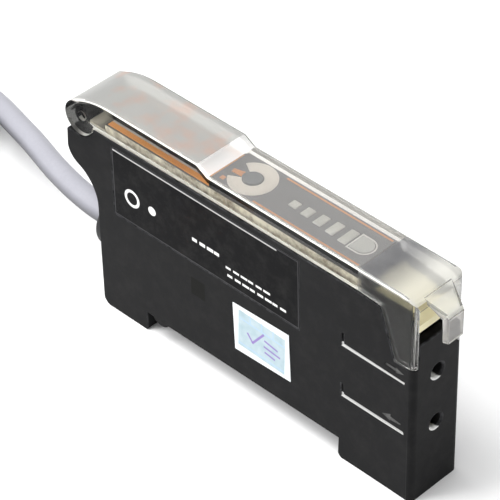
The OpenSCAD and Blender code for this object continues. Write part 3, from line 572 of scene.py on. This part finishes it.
def makeCoverClear(s, paint):
    material, tree, shader = newMaterial(paint["name"], {
        "IOR": paint.get("ior", 1.45), "Transmission Weight": paint["clear"]})
    place = placeInMm(tree)
    x, y, z = addNode(tree, "SeparateXYZ", {0: place})
    band = addNode(tree, "Attribute", attribute_name="edgeBand")["Fac"]
    cloud = noise(tree, place, 0.35, 5.0, 0.65)
    drawn = addNode(tree, "Mapping", {"Vector": place, "Scale": (0.35, 6.0, 2.0),
                                      "Rotation": (0, 0, 0.3)})[0]
    scratch = ramp(tree, noise(tree, drawn, 1.6, 3.0), 0.6, 0.75, 0.04)
    bright = multiply(tree, band, min(0, s["polish"] - paint["rough"]))  # eased edges are polished
    rough = mathNode(tree, "ADD", mathNode(tree, "ADD", bright, paint["rough"]), scratch)
    rough = mathNode(tree, "MULTIPLY_ADD", mathNode(tree, "SUBTRACT", cloud, 0.5), 0.04, rough)
    tone = mixColour(tree, multiply(tree, cloud, 0.3), paint["tint"], s["haze"])
    if "blush" in paint:  # print below, blurred by the frosting
        blot = ramp(tree, noise(tree, place, 0.28, 2.0), 0.48, 0.7, 0.6)
        tone = mixColour(tree, blot, paint["tint"], paint["blush"])
    if "tipTint" in paint:  # paler towards the tip
        tip = ramp(tree, x, s["noseStart"], s["noseTip"], interpolation_type="SMOOTHSTEP")
        tone = mixColour(tree, tip, tone, paint["tipTint"])
    if "smoke" in paint:  # dark round the hinge, and a dark line under the near top edge
        tone = mixColour(tree, ramp(tree, x, *s["smokeSpan"]), tone, paint["smoke"])
        tone = mixColour(tree, edgeShade(tree, s, x, y, z), tone, paint["shade"])
    feed(tree, shader, {"Base Color": tone, "Normal": bumpNode(tree, cloud, s["depth"]),
                        "Roughness": mathNode(tree, "MAXIMUM", rough, s["smoothest"])})
    return material


def coverPart(s, place, facing, eased):
    x, y, z = place
    up, onTop = facing.z > s["level"], z > s["topHeight"]
    if (eased and y < -s["edgeSide"] and z > s["rimHeight"]
            and s["rimLean"][0] < facing.z < s["rimLean"][1]):
        return "rim"  # painted highlight along the near top edge
    if eased and (x > s["noseStart"] or y > s["edgeSide"] and z > s["farHeight"]
                  and s["farLean"][0] < facing.z < s["farLean"][1]):
        return "far"  # painted shade along the far top edge, and the same dark tint round the nose and the legs
    # painted shade on the legs
    if abs(facing.y) > s["upright"] and facing.y * y > s["legSide"] and x > s["cutAt"]:
        return "leg"
    # painted highlight on the slope up to the hump
    if up and facing.x > s["stepLean"] and s["stepSpan"][0] < x < s["stepSpan"][1]:
        return "step"
    if up and x > s["cutAt"]:
        return "nose"
    if facing.z < -s["level"] and (x > s["tongueAt"]
                                   or abs(y) > s["footSide"] and z > s["footHeight"]):
        return "rim"  # painted highlight along the undersides of the walls and the tongue
    if facing.z > s["humpLean"] and onTop and x < s["humpEnds"][1]:
        return "hump"
    return "low" if x > s["tongueAt"] or up and onTop else "wall"


coverShell = easedCopy("coverShell", "cover", "cover", coverSet)
wear(coverShell, *(makeCoverClear(coverSet, paint) for paint in coverSet["parts"].values()))
partNames = list(coverSet["parts"])
eased = coverShell.data.attributes["edgeBand"].data
for face in coverShell.data.polygons:
    part = coverPart(coverSet, face.center / mm, face.normal, eased[face.index].value)
    face.material_index = partNames.index(part)
print("case and cover eased")

# deck of the panel: blue-grey, with orange lines along its sides and a white line round the arch
panelSet = {
    "name": "panelGrey", "colour": (0.165, 0.17, 0.185), "rough": 0.38, "grain": 0.15,
    "spread": 0.2, "dust": 0.1, "depth": 0.000004,
    "lines": [((11.25, 3.45), (10.05, 0.14)), ((11.25, -3.45), (10.05, 0.14))],  # in mm
    "dots": [((-5.6, -2.6), (0.35, 0.35))], "lineColour": (0.8, 0.33, 0.1),
    "darkLines": [((21.75, 0), (0.12, 3.6))], "darkColour": (0.03, 0.03, 0.035),
    "arch": (19.1, 17.6, 1.5), "archLine": (0.1, 0.36),  # centre, rear edge, radius; from and to
    "archColour": (0.85, 0.85, 0.84), "end": (0.2, 0.2, 0.22),
    "side": (0.72, 0.68, 0.56), "stain": (0.15, 0.11, 0.07),
    "skirt": 34.7, "upper": (0.006, 0.006, 0.007),  # sides are dark above this height
}


def drawPanel(tree, s, colour):
    x, y, z = splitPlace(tree)
    deck = flat(tree, x, y)
    colour = mixColour(tree, printMask(tree, deck, s["lines"] + s["dots"]), colour, s["lineColour"])
    colour = mixColour(tree, printMask(tree, deck, s["darkLines"]), colour, s["darkColour"])
    centre, back, radius = s["arch"]
    ahead = mathNode(tree, "MAXIMUM", mathNode(tree, "SUBTRACT", x, centre), 0.0)
    reach = distance(tree, flat(tree, ahead, y))
    past = mathNode(tree, "MAXIMUM", mathNode(tree, "SUBTRACT", reach, radius),
                    mathNode(tree, "SUBTRACT", back, x))
    colour = mixColour(tree, between(tree, past, *s["archLine"]), colour, s["archColour"])
    facing = addNode(tree, "SeparateXYZ", {0: addNode(tree, "NewGeometry")["Normal"]})
    side = mathNode(tree, "GREATER_THAN", mathNode(tree, "ABSOLUTE", facing[1]), 0.5)
    end = mathNode(tree, "GREATER_THAN", facing[0], 0.5)
    stain = ramp(tree, noise(tree, placeInMm(tree), 0.4, 5.0, 0.7), 0.42, 0.68, 0.9)
    warm = mixColour(tree, stain, s["side"], s["stain"])
    warm = mixColour(tree, ramp(tree, z, s["skirt"] - soft, s["skirt"] + soft), warm, s["upper"])
    return mixColour(tree, end, mixColour(tree, side, colour, warm), s["end"])


wear("control_panel", printOver(panelSet, drawPanel))

# film on the rear deck: pale ground, orange bands and plain marks beside the controls
labelSet = {
    "name": "labelFilm", "colour": (0.66, 0.645, 0.61), "rough": 0.42, "grain": 0.12,
    "spread": 0.12, "depth": 0.000003, "band": (0.92, 0.42, 0.14), "mark": (0.72, 0.4, 0.3),
    "bands": [((-17.5, 3.15), (10.4, 0.45)), ((-17.5, -3.15), (10.4, 0.45)),
              ((-7.5, 0), (0.3, 3.5))],
    "marks": [((-8.9, 1.4), (0.5, 0.16)), ((-8.9, -1.4), (0.5, 0.16)), ((-15.2, 1.7), (0.3, 0.3)),
              ((-15.2, -1.7), (0.3, 0.3)), ((-20.6, 1.9), (0.9, 0.16)),
              ((-20.6, -1.9), (0.9, 0.16)), ((-25.2, 1.5), (0.16, 0.8)),
              ((-25.2, -1.5), (0.16, 0.8))],
}


def drawLabel(tree, s, colour):
    place = flatPlace(tree, 0, 1)
    tinge = ramp(tree, noise(tree, place, 0.55, 5.0, 0.7), 0.5, 0.65, 0.75)
    colour = mixColour(tree, tinge, colour, s["mark"])
    colour = mixColour(tree, printMask(tree, place, s["marks"]), colour, s["mark"])
    return mixColour(tree, printMask(tree, place, s["bands"]), colour, s["band"])


wear("control_label", printOver(labelSet, drawLabel))

# white scale with fine divisions round the dial
scaleSet = {
    "name": "scaleWhite", "colour": (0.97, 0.92, 0.85), "rough": 0.4, "grain": 0.12, "spread": 0.1,
    "depth": 0.000003, "centre": (-2.1925, 0), "inner": 3.0,  # mm
    "tick": (0.45, 0.43, 0.42), "tickShare": 0.5, "tickWide": 0.1, "divisions": 60,
}


def drawScale(tree, s, colour):
    x, y = (mathNode(tree, "SUBTRACT", part, middle)
            for part, middle in zip(splitPlace(tree), s["centre"]))
    turn = multiply(tree, mathNode(tree, "ARCTAN2", y, x), s["divisions"] / (2 * math.pi))
    near = mathNode(tree, "SUBTRACT", mathNode(tree, "FRACT", turn), 0.5)
    tick = mathNode(tree, "LESS_THAN", mathNode(tree, "ABSOLUTE", near), s["tickWide"])
    out = mathNode(tree, "GREATER_THAN", distance(tree, flat(tree, x, y)), s["inner"])
    return mixColour(tree, multiply(tree, tick, out, s["tickShare"]), colour, s["tick"])


wear("scale_ring", printOver(scaleSet, drawScale))

# pointer: grey hub and an orange needle
pointerSet = {"name": "pointerOrange", "colour": (0.82, 0.3, 0.05), "rough": 0.35,
              "hub": (0.14, 0.16, 0.18), "hubWide": 1.6}


def drawPointer(tree, s, colour):
    reach = distance(tree, flatPlace(tree, 0, 1), scaleSet["centre"])
    hub = ramp(tree, reach, s["hubWide"] + soft, s["hubWide"])
    return mixColour(tree, hub, colour, s["hub"])


wear("dial_pointer", printOver(pointerSet, drawPointer))

# glossy inset on the near face: grey outline, white line on top, plain dashes, a ring and a dot
plateSet = {
    "name": "plateGloss", "colour": (0.0045, 0.0045, 0.005), "rough": 0.2, "grain": 0.3,
    "spread": 0.2, "gloss": 0.1, "dust": 0.05, "specular": 0.03, "depth": 0.000002,
    "outline": (0.055, 0.055, 0.057), "print": (0.78, 0.78, 0.77),
    "centre": (-7.45, 25.8), "half": (18.8, 6.15), "lineWide": 0.16,
    "topLine": ((-9.5, 31.6), (16.6, 0.09)), "topShare": 0.6,
    "rows": [(-9.4, 24.0, 4, 0.27), (-2.6, 22.65, 6, 0.17), (-2.3, 21.3, 8, 0.19)],
    "dash": (0.85, 1.5),  # half length and pitch
    "signs": [((-22.4, 24.4), 1.55, 1.05), ((-18.2, 24.4), 0.75, -1)],  # outer and inner radius
}


def drawPlate(tree, s, colour):
    place = flatPlace(tree, 0, 2)
    inner = tuple(half - s["lineWide"] for half in s["half"])
    border = mathNode(tree, "SUBTRACT", 1.0, printMask(tree, place, [(s["centre"], inner)]))
    colour = mixColour(tree, border, colour, s["outline"])
    topLine = multiply(tree, printMask(tree, place, [s["topLine"]]), s["topShare"])
    colour = mixColour(tree, topLine, colour, s["print"])
    long, pitch = s["dash"]
    dashes = [((x + k * pitch + long * (k % 3) / 9, z), (long * (0.55 + (k % 3) * 0.1), tall))
              for x, z, count, tall in s["rows"] for k in range(count)]  # lengths in threes
    colour = mixColour(tree, printMask(tree, place, dashes), colour, s["print"])
    for centre, outer, inner in s["signs"]:
        reach = distance(tree, place, centre)
        ring = multiply(tree, ramp(tree, reach, outer + soft, outer),
                        ramp(tree, reach, inner, inner + soft))
        colour = mixColour(tree, ring, colour, s["print"])
    return colour


wear("nameplate", printOver(plateSet, drawPlate))

# paper sticker: white border, pale field with a ruled grid, a violet tick and three strokes
stickerSet = {
    "name": "stickerPaper", "colour": (0.78, 0.81, 0.82), "rough": 0.72, "grain": 0.18,
    "spread": 0.1, "specular": 0.3, "depth": 0.000008,
    "centre": (4, 12.7), "half": (5.6, 4.35), "turn": 2, "border": 0.95,
    "field": (0.3, 0.42, 0.47), "fade": (0.6, 0.48),  # noise's share, and the least
    "rule": (0.36, 0.52, 0.72), "ruleShare": 0.8,
    "rules": [((0, 1.9), (4.6, 0.07)), ((-2.3, 2.7), (0.07, 0.8)), ((0, 2.7), (0.07, 0.8)),
              ((2.3, 2.7), (0.07, 0.8)), ((0, -2.9), (4.6, 0.07))],
    "ink": (0.23, 0.13, 0.42), "inkShare": 0.85, "inkEdge": 0.12,
    "strokes": [((-2.3, -0.7), 50, (0.8, 0.13)), ((-0.7, 0.1), -54, (1.9, 0.13)),
                ((1.9, 0.4), 8, (1.3, 0.12)), ((2.1, -0.7), 4, (1.6, 0.12)),
                ((1.7, -1.7), 6, (1.0, 0.12))],  # centre, turn, half size
}


def turnedPlace(tree, place, centre, degrees):
    away = vectorMath(tree, "SUBTRACT", place, (*centre, 0))[0]
    return addNode(tree, "VectorRotate", {"Vector": away, "Angle": math.radians(degrees)},
                   rotation_type="Z_AXIS")[0]


def drawSticker(tree, s, colour):
    place = turnedPlace(tree, flatPlace(tree, 0, 2), s["centre"], s["turn"])
    inner = tuple(half - s["border"] for half in s["half"])
    fade = mathNode(tree, "MULTIPLY_ADD", noise(tree, place, 0.6, 4.0), *s["fade"])
    field = multiply(tree, printMask(tree, place, [((0, 0), inner)]), fade)
    colour = mixColour(tree, field, colour, s["field"])
    rules = multiply(tree, printMask(tree, place, s["rules"]), s["ruleShare"])
    colour = mixColour(tree, rules, colour, s["rule"])
    for centre, degrees, half in s["strokes"]:
        along = turnedPlace(tree, place, centre, degrees)
        stroke = printMask(tree, along, [((0, 0), half)], s["inkEdge"])
        colour = mixColour(tree, multiply(tree, stroke, s["inkShare"]), colour, s["ink"])
    return colour


wear("date_sticker", printOver(stickerSet, drawSticker))
print("printed faces done")


# shapes that repeat, built as node trees and then made plain meshes
def shapeTree(name, inputs):
    tree, given, made = newTree(name, "GeometryNodeTree", inputs, [("Geometry", "Geometry")])
    tree.is_modifier = True
    return tree, given, made


def shapeNode(tree, kind, feeds=None, **settings):
    return addNode(tree, "GeometryNode" + kind, feeds, **settings)[0]


def joinParts(tree, parts):
    joined = tree.nodes.new("GeometryNodeJoinGeometry")
    for part in parts:
        tree.links.new(part, joined.inputs[0])
    return joined.outputs[0]


def rowOfPoints(tree, given):
    step = addNode(tree, "CombineXYZ", {0: given["Pitch"]})[0]
    return shapeNode(tree, "MeshLine", {"Count": given["Count"], "Start Location": given["Start"],
                                        "Offset": step})


def finishTree(tree, made, shape, material):
    real = shapeNode(tree, "RealizeInstances", {0: shape})
    feed(tree, made, {0: shapeNode(tree, "SetMaterial", {"Geometry": real, "Material": material})})
    return tree


def bakeTree(name, tree, values, body, node):
    obj = linkMesh(name, bpy.data.meshes.new(name))
    shape = obj.modifiers.new("shape", "NODES")
    shape.node_group = tree
    for item in tree.interface.items_tree:
        if item.in_out == "INPUT" and item.name in values:
            shape[item.identifier] = values[item.name]
    applyModifier(obj, shape)
    smoothMesh(obj.data)
    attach(obj, body)
    if node:
        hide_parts(node)
    return obj


# level windows: five bars with rounded corners, each wider than the last
levelSet = {
    "Count": 5, "Pitch": 0.00255, "Length": 0.0015, "First Width": 0.0015, "Last Width": 0.0032,
    "Height": 0.0016, "Crown": 0.0001, "Corner": 0.0002, "Start": (0.006, 0, 0.034),
    "paint": {"name": "levelMilk", "colour": (0.7, 0.71, 0.68), "rough": 0.25, "grain": 0.3,
              "spread": 0.1},
}


def makeLevelTree(material):
    tree, given, made = shapeTree("levelBars", [
        ("Count", "Int", 5), ("Pitch", "Float", 0.002), ("Length", "Float", 0.001),
        ("First Width", "Float", 0.001), ("Last Width", "Float", 0.002), ("Height", "Float", 0.001),
        ("Crown", "Float", 0.0001), ("Corner", "Float", 0.0001), ("Start", "Vector", (0, 0, 0))])
    last = mathNode(tree, "SUBTRACT", given["Count"], 1.0)
    width = ramp(tree, shapeNode(tree, "InputIndex"), 0.0, last, given["Last Width"],
                 given["First Width"])
    grow = mathNode(tree, "DIVIDE", width, given["Last Width"])
    size = addNode(tree, "CombineXYZ", {0: 1.0, 1: grow, 2: 1.0})[0]
    outline = shapeNode(tree, "CurvePrimitiveQuadrilateral", {"Width": given["Length"],
                                                              "Height": given["Last Width"]})
    rounded = shapeNode(tree, "FilletCurve", {"Curve": outline, "Radius": given["Corner"],
                                              "Count": 4}, mode="POLY")
    base = shapeNode(tree, "FillCurve", {"Curve": rounded}, mode="NGONS")
    raised, top = base, True
    for height in (given["Height"], given["Crown"]):
        raised, top = addNode(tree, "GeometryNodeExtrudeMesh", {
            "Mesh": raised, "Selection": top, "Offset Scale": height, "Individual": False})[:2]
    crowned = shapeNode(tree, "ScaleElements", {"Geometry": raised, "Selection": top,
                                                "Scale": 0.88})
    closed = joinParts(tree, [crowned, shapeNode(tree, "FlipFaces", {"Mesh": base})])
    bar = shapeNode(tree, "MergeByDistance", {"Geometry": closed, "Distance": 0.000001})
    bars = shapeNode(tree, "InstanceOnPoints", {"Points": rowOfPoints(tree, given),
                                                "Instance": bar, "Scale": size})
    return finishTree(tree, made, bars, material)


bakeTree("levelBars", makeLevelTree(makePlastic(levelSet["paint"])), levelSet, "housing",
         "level_windows")

# bare ends of the cores: strands twisted round a middle one
strandSet = {
    "Strands": 6, "Length": 0.006, "Lay Radius": 0.00026, "Strand Radius": 0.00013, "Turns": 1.2,
    "paint": {"name": "strandCopper", "colour": (0.7, 0.33, 0.16), "rough": 0.3, "metallic": 1.0,
              "grain": 0.1},
}


def makeStrandTree(material, ends):
    tree, given, made = shapeTree("twistedStrands", [
        ("Strands", "Int", 6), ("Length", "Float", 0.005), ("Lay Radius", "Float", 0.0003),
        ("Strand Radius", "Float", 0.0001), ("Turns", "Float", 1.0)])
    ring = shapeNode(tree, "MeshCircle", {"Vertices": given["Strands"],
                                          "Radius": given["Lay Radius"]})
    reach = addNode(tree, "CombineXYZ", {2: given["Length"]})[0]
    straight = shapeNode(tree, "CurvePrimitiveLine", {"End": reach})
    placed = shapeNode(tree, "InstanceOnPoints", {"Points": ring, "Instance": straight})
    both = joinParts(tree, [shapeNode(tree, "RealizeInstances", {0: placed}), straight])
    fine = shapeNode(tree, "ResampleCurve", {"Curve": both, "Count": 16})
    place = shapeNode(tree, "InputPosition")
    height = addNode(tree, "SeparateXYZ", {0: place})[2]
    turn = multiply(tree, mathNode(tree, "DIVIDE", height, given["Length"]),
                    multiply(tree, given["Turns"], 2 * math.pi))
    wound = addNode(tree, "VectorRotate", {"Vector": place, "Angle": turn},
                    rotation_type="Z_AXIS")[0]
    laid = shapeNode(tree, "SetPosition", {"Geometry": fine, "Position": wound})
    profile = shapeNode(tree, "CurvePrimitiveCircle", {"Resolution": 8,
                                                       "Radius": given["Strand Radius"]})
    bundle = shapeNode(tree, "CurveToMesh", {"Curve": laid, "Profile Curve": profile,
                                             "Fill Caps": True})
    moved = []
    for tip, before in ends:
        ahead = (Vector(tip) - Vector(before)).normalized()
        moved.append(shapeNode(tree, "Transform", {
            "Geometry": bundle, "Translation": tip,
            "Rotation": ahead.to_track_quat("Z", "Y").to_euler()}))
    return finishTree(tree, made, joinParts(tree, moved), material)


coreEnds = [(coreSet[colour][-1], coreSet[colour][-2]) for colour in cores]
strands = bakeTree("copperStrands", makeStrandTree(makePlastic(strandSet["paint"]), coreEnds),
                   strandSet, "housing", "wire_strands")

# tie round the coil: teeth across the strap and a locking head
tieSet = {
    "over": 40, "eases": [(anyEdge, 0.00015, 0.0005)], "steps": 2, "angle": 160,
    "teeth": {"Count": 15, "Pitch": 0.00058, "Tooth": (0.00032, 0.0024, 0.0003),
              "Start": (0.0138, 0, 0.017)},
    "head": (0.0048, 0.0052, 0.0036), "headAt": (0.0245, 0, 0.0184), "headEase": 0.00035,
    "headOver": 57, "mouth": 0.0038, "mouthDepth": 0.00126,
    "tail": (0.001, 0.00342, 0.0042), "tailEase": 0.00015,
    "paint": {"name": "tieNylon", "colour": (0.02, 0.02, 0.021), "rough": 0.35, "grain": 0.3,
              "dust": 0.06},
}


def makeToothTree(material, s):
    tree, given, made = shapeTree("tieTeeth", [
        ("Count", "Int", 10), ("Pitch", "Float", 0.0006),
        ("Tooth", "Vector", (0.0003, 0.002, 0.0002)), ("Start", "Vector", (0, 0, 0))])
    tooth = shapeNode(tree, "MeshCube", {"Size": given["Tooth"]})
    facing = addNode(tree, "SeparateXYZ", {0: shapeNode(tree, "InputNormal")})[2]
    upper = addNode(tree, "FunctionNodeCompare", {0: facing, 1: 0.5}, operation="GREATER_THAN")[0]
    ridge = shapeNode(tree, "ScaleElements", {"Geometry": tooth, "Selection": upper, "Scale": 0.6})
    teeth = shapeNode(tree, "InstanceOnPoints", {"Points": rowOfPoints(tree, given),
                                                 "Instance": ridge})
    turned = shapeNode(tree, "Transform", {
        "Geometry": teeth, "Translation": (*cableSet["coilAt"], 0),
        "Rotation": (0, 0, math.radians(s["angle"]))})
    return finishTree(tree, made, turned, material)


def makeTieHead(s):
    bm = bmesh.new()
    bmesh.ops.create_cube(bm, size=1, matrix=Matrix.Diagonal((*s["head"], 1)))
    top = max(bm.faces, key=lambda f: f.normal.z)  # mouth that the strap comes up through
    bmesh.ops.inset_region(bm, faces=[top], thickness=(s["head"][1] - s["mouth"]) / 2)
    bmesh.ops.translate(bm, verts=top.verts, vec=(0, 0, -s["mouthDepth"]))
    over = math.radians(s["headOver"])
    edges = [e for e in bm.edges if e.is_convex and e.calc_face_angle(0) > over]
    bmesh.ops.bevel(bm, geom=edges, offset=s["headEase"], segments=3, profile=0.5, affect="EDGES",
                    clamp_overlap=True)
    lift = Matrix.Translation((0, 0, s["tail"][2] / 2))
    stub = bmesh.ops.create_cube(bm, size=1, matrix=lift @ Matrix.Diagonal((*s["tail"], 1)))
    edges = {e for v in stub["verts"] for e in v.link_edges}
    bmesh.ops.bevel(bm, geom=list(edges), offset=s["tailEase"], segments=2, profile=0.5,
                    affect="EDGES", clamp_overlap=True)
    turn = Matrix.Rotation(math.radians(s["angle"]), 4, "Z")
    place = Matrix.Translation((*cableSet["coilAt"], 0)) @ turn @ Matrix.Translation(s["headAt"])
    bmesh.ops.transform(bm, matrix=place, verts=bm.verts)
    return linkShape("tieHead", bm)


tieNylon = makePlastic(tieSet["paint"])
tieStrap = easedCopy("tieStrap", "cable_tie", "housing", tieSet)
tieTeeth = bakeTree("tieTeeth", makeToothTree(tieNylon, tieSet), tieSet["teeth"], "housing", None)
tieHead = makeTieHead(tieSet)
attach(tieHead, "housing")
for piece in (tieStrap, tieHead):
    wear(piece, tieNylon)
print("level bars, strands and tie made")

# small mouldings and the pieces inside the case: name, colour, roughness and what else differs
plainSet = [
    ("adjuster_screw", "knobNylon", (0.76, 0.75, 0.69), 0.38, {"dust": 0.1}),
    ("timer_slider", "timerNylon", (0.76, 0.75, 0.69), 0.38, {"dust": 0.1}),
    ("mode_slider", "modeNylon", (0.76, 0.75, 0.69), 0.38, {"dust": 0.1}),
    ("operation_window", "archMilk", (0.62, 0.64, 0.63), 0.25, {"grain": 0.3, "spread": 0.1}),
    ("lock_lever", "leverCream", (0.78, 0.71, 0.45), 0.34, {"grain": 0.25, "dust": 0.08}),
    ("fibre_holder", "holderIvory", (0.66, 0.61, 0.46), 0.45, {}),
    ("fibre_clamp", "clampIvory", (0.6, 0.56, 0.43), 0.45, {}),
    ("cable_boot", "bootRubber", (0.017, 0.017, 0.018), 0.6,
     {"grain": 0.3, "depth": 0.00002, "dust": 0.08, "specular": 0.35}),
    ("lever_pin", "pinSteel", (0.6, 0.6, 0.62), 0.28, {"metallic": 1.0, "grain": 0.08}),
    ("adjuster_body", "trimmerBlue", (0.04, 0.1, 0.3), 0.35, {}),
    ("timer_switch_body", "timerHousing", (0.025, 0.025, 0.026), 0.45, {}),
    ("mode_switch_body", "modeHousing", (0.025, 0.025, 0.026), 0.45, {}),
    ("amplifier_chip", "chipEpoxy", (0.022, 0.022, 0.024), 0.55, {"grain": 0.08}),
    ("photodiode", "diodeBlack", (0.03, 0.02, 0.03), 0.2, {}),
    ("emitter_led", "emitterRed", (0.5, 0.03, 0.025), 0.18, {}),
    ("level_leds", "ledAmber", (0.75, 0.48, 0.14), 0.2, {}),
    (cores["brown"], "coreBrown", (0.13, 0.05, 0.02), 0.42, {"grain": 0.3}),
    (cores["blue"], "coreBlue", (0.02, 0.07, 0.3), 0.42, {"grain": 0.3}),
    (cores["black"], "coreBlack", (0.015, 0.015, 0.016), 0.42, {"grain": 0.3}),
]
for target, name, colour, rough, others in plainSet:
    wear(target, makePlastic({"name": name, "colour": colour, "rough": rough, **others}))

# circuit board: green mask over a pattern of tracks
boardSet = {"name": "boardGreen", "mask": (0.012, 0.1, 0.035), "track": (0.03, 0.2, 0.07),
            "rough": 0.3, "depth": 0.00003}


def makeBoard(s):
    material, tree, shader = newMaterial(s["name"], {"Roughness": s["rough"]})
    tracks = addNode(tree, "TexBrick", {"Vector": flatPlace(tree, 0, 2), "Scale": 0.5,
                                        "Mortar Size": 0.04, "Mortar Smooth": 0.2})["Fac"]
    feed(tree, shader, {"Base Color": mixColour(tree, tracks, s["mask"], s["track"]),
                        "Normal": bumpNode(tree, tracks, s["depth"])})
    return material


wear("circuit_board", makeBoard(boardSet))

# sheath of the cable: soft grey PVC with faint handling marks, with painted shade on its underside
sheathSet = {
    "name": "sheathGrey", "colour": (0.335, 0.335, 0.37), "rough": 0.45, "grain": 0.5,
    "spread": 0.1, "dust": 0.06, "specular": 0.2, "depth": 0.00001,
    "underShade": (0.06, 0.06, 0.068), "underShadeFrom": 0.62, "underShadeTo": -0.25, "underShadeShare": 0.85,
}


def drawSheath(tree, s, colour):
    around = addNode(tree, "SeparateXYZ", {0: addNode(tree, "UVMap", uv_map="sheathMap")[0]})[0]
    height = mathNode(tree, "SINE", multiply(tree, around, 2 * math.pi))  # 1 on top, -1 below
    # painted shade: the underside of the cable, and the sides of the coil's turns, are darkened
    underShade = ramp(tree, height, s["underShadeFrom"], s["underShadeTo"], s["underShadeShare"])
    return mixColour(tree, underShade, colour, s["underShade"])


wear(cable, printOver(sheathSet, drawSheath))
print("materials worn by every piece")

# floor, sky and softboxes
studioSet = {
    "floorWide": 3.0, "floorColour": (0.9, 0.9, 0.9), "floorRough": 0.9, "floorSpecular": 0.1,
    "skyTop": (1, 1, 1), "skyLow": (0.5, 0.51, 0.53), "skyTurn": 0.55, "sky": 0.8,
    "boxes": [("keyBox", (-0.3, -0.25, 0.9), 0.6, 9),
              ("edgeBox", (-0.5, -0.58, 0.49), 0.4, 4)],  # place, width, watts
    "aim": (0, 0, 0.02),
}


def layFloor(s):
    bm = bmesh.new()
    bmesh.ops.create_grid(bm, x_segments=1, y_segments=1, size=s["floorWide"] / 2)
    floor = linkShape("floor", bm)
    wear(floor, newMaterial("floorPaint", {
        "Base Color": rgba(s["floorColour"]), "Roughness": s["floorRough"],
        "Specular IOR Level": s["floorSpecular"]})[0])


def lightStudio(s):
    world = bpy.data.worlds.new("studio")
    scene.world = world
    world.use_nodes = True
    tree = world.node_tree
    height = addNode(tree, "SeparateXYZ", {0: addNode(tree, "TexCoord")["Generated"]})[2]
    sky = mixColour(tree, ramp(tree, height, 0.0, s["skyTurn"]), s["skyLow"], s["skyTop"])
    feed(tree, tree.nodes["Background"], {"Color": sky, "Strength": s["sky"]})
    for name, place, wide, power in s["boxes"]:
        data = bpy.data.lights.new(name, "AREA")
        data.shape, data.size, data.energy = "SQUARE", wide, power
        lamp = bpy.data.objects.new(name, data)
        lamp.location = place
        ahead = Vector(s["aim"]) - Vector(place)
        lamp.rotation_euler = ahead.to_track_quat("-Z", "Y").to_euler()
        scene.collection.objects.link(lamp)


layFloor(studioSet)
lightStudio(studioSet)
scene.view_settings.view_transform = "Standard"
print("studio lit")
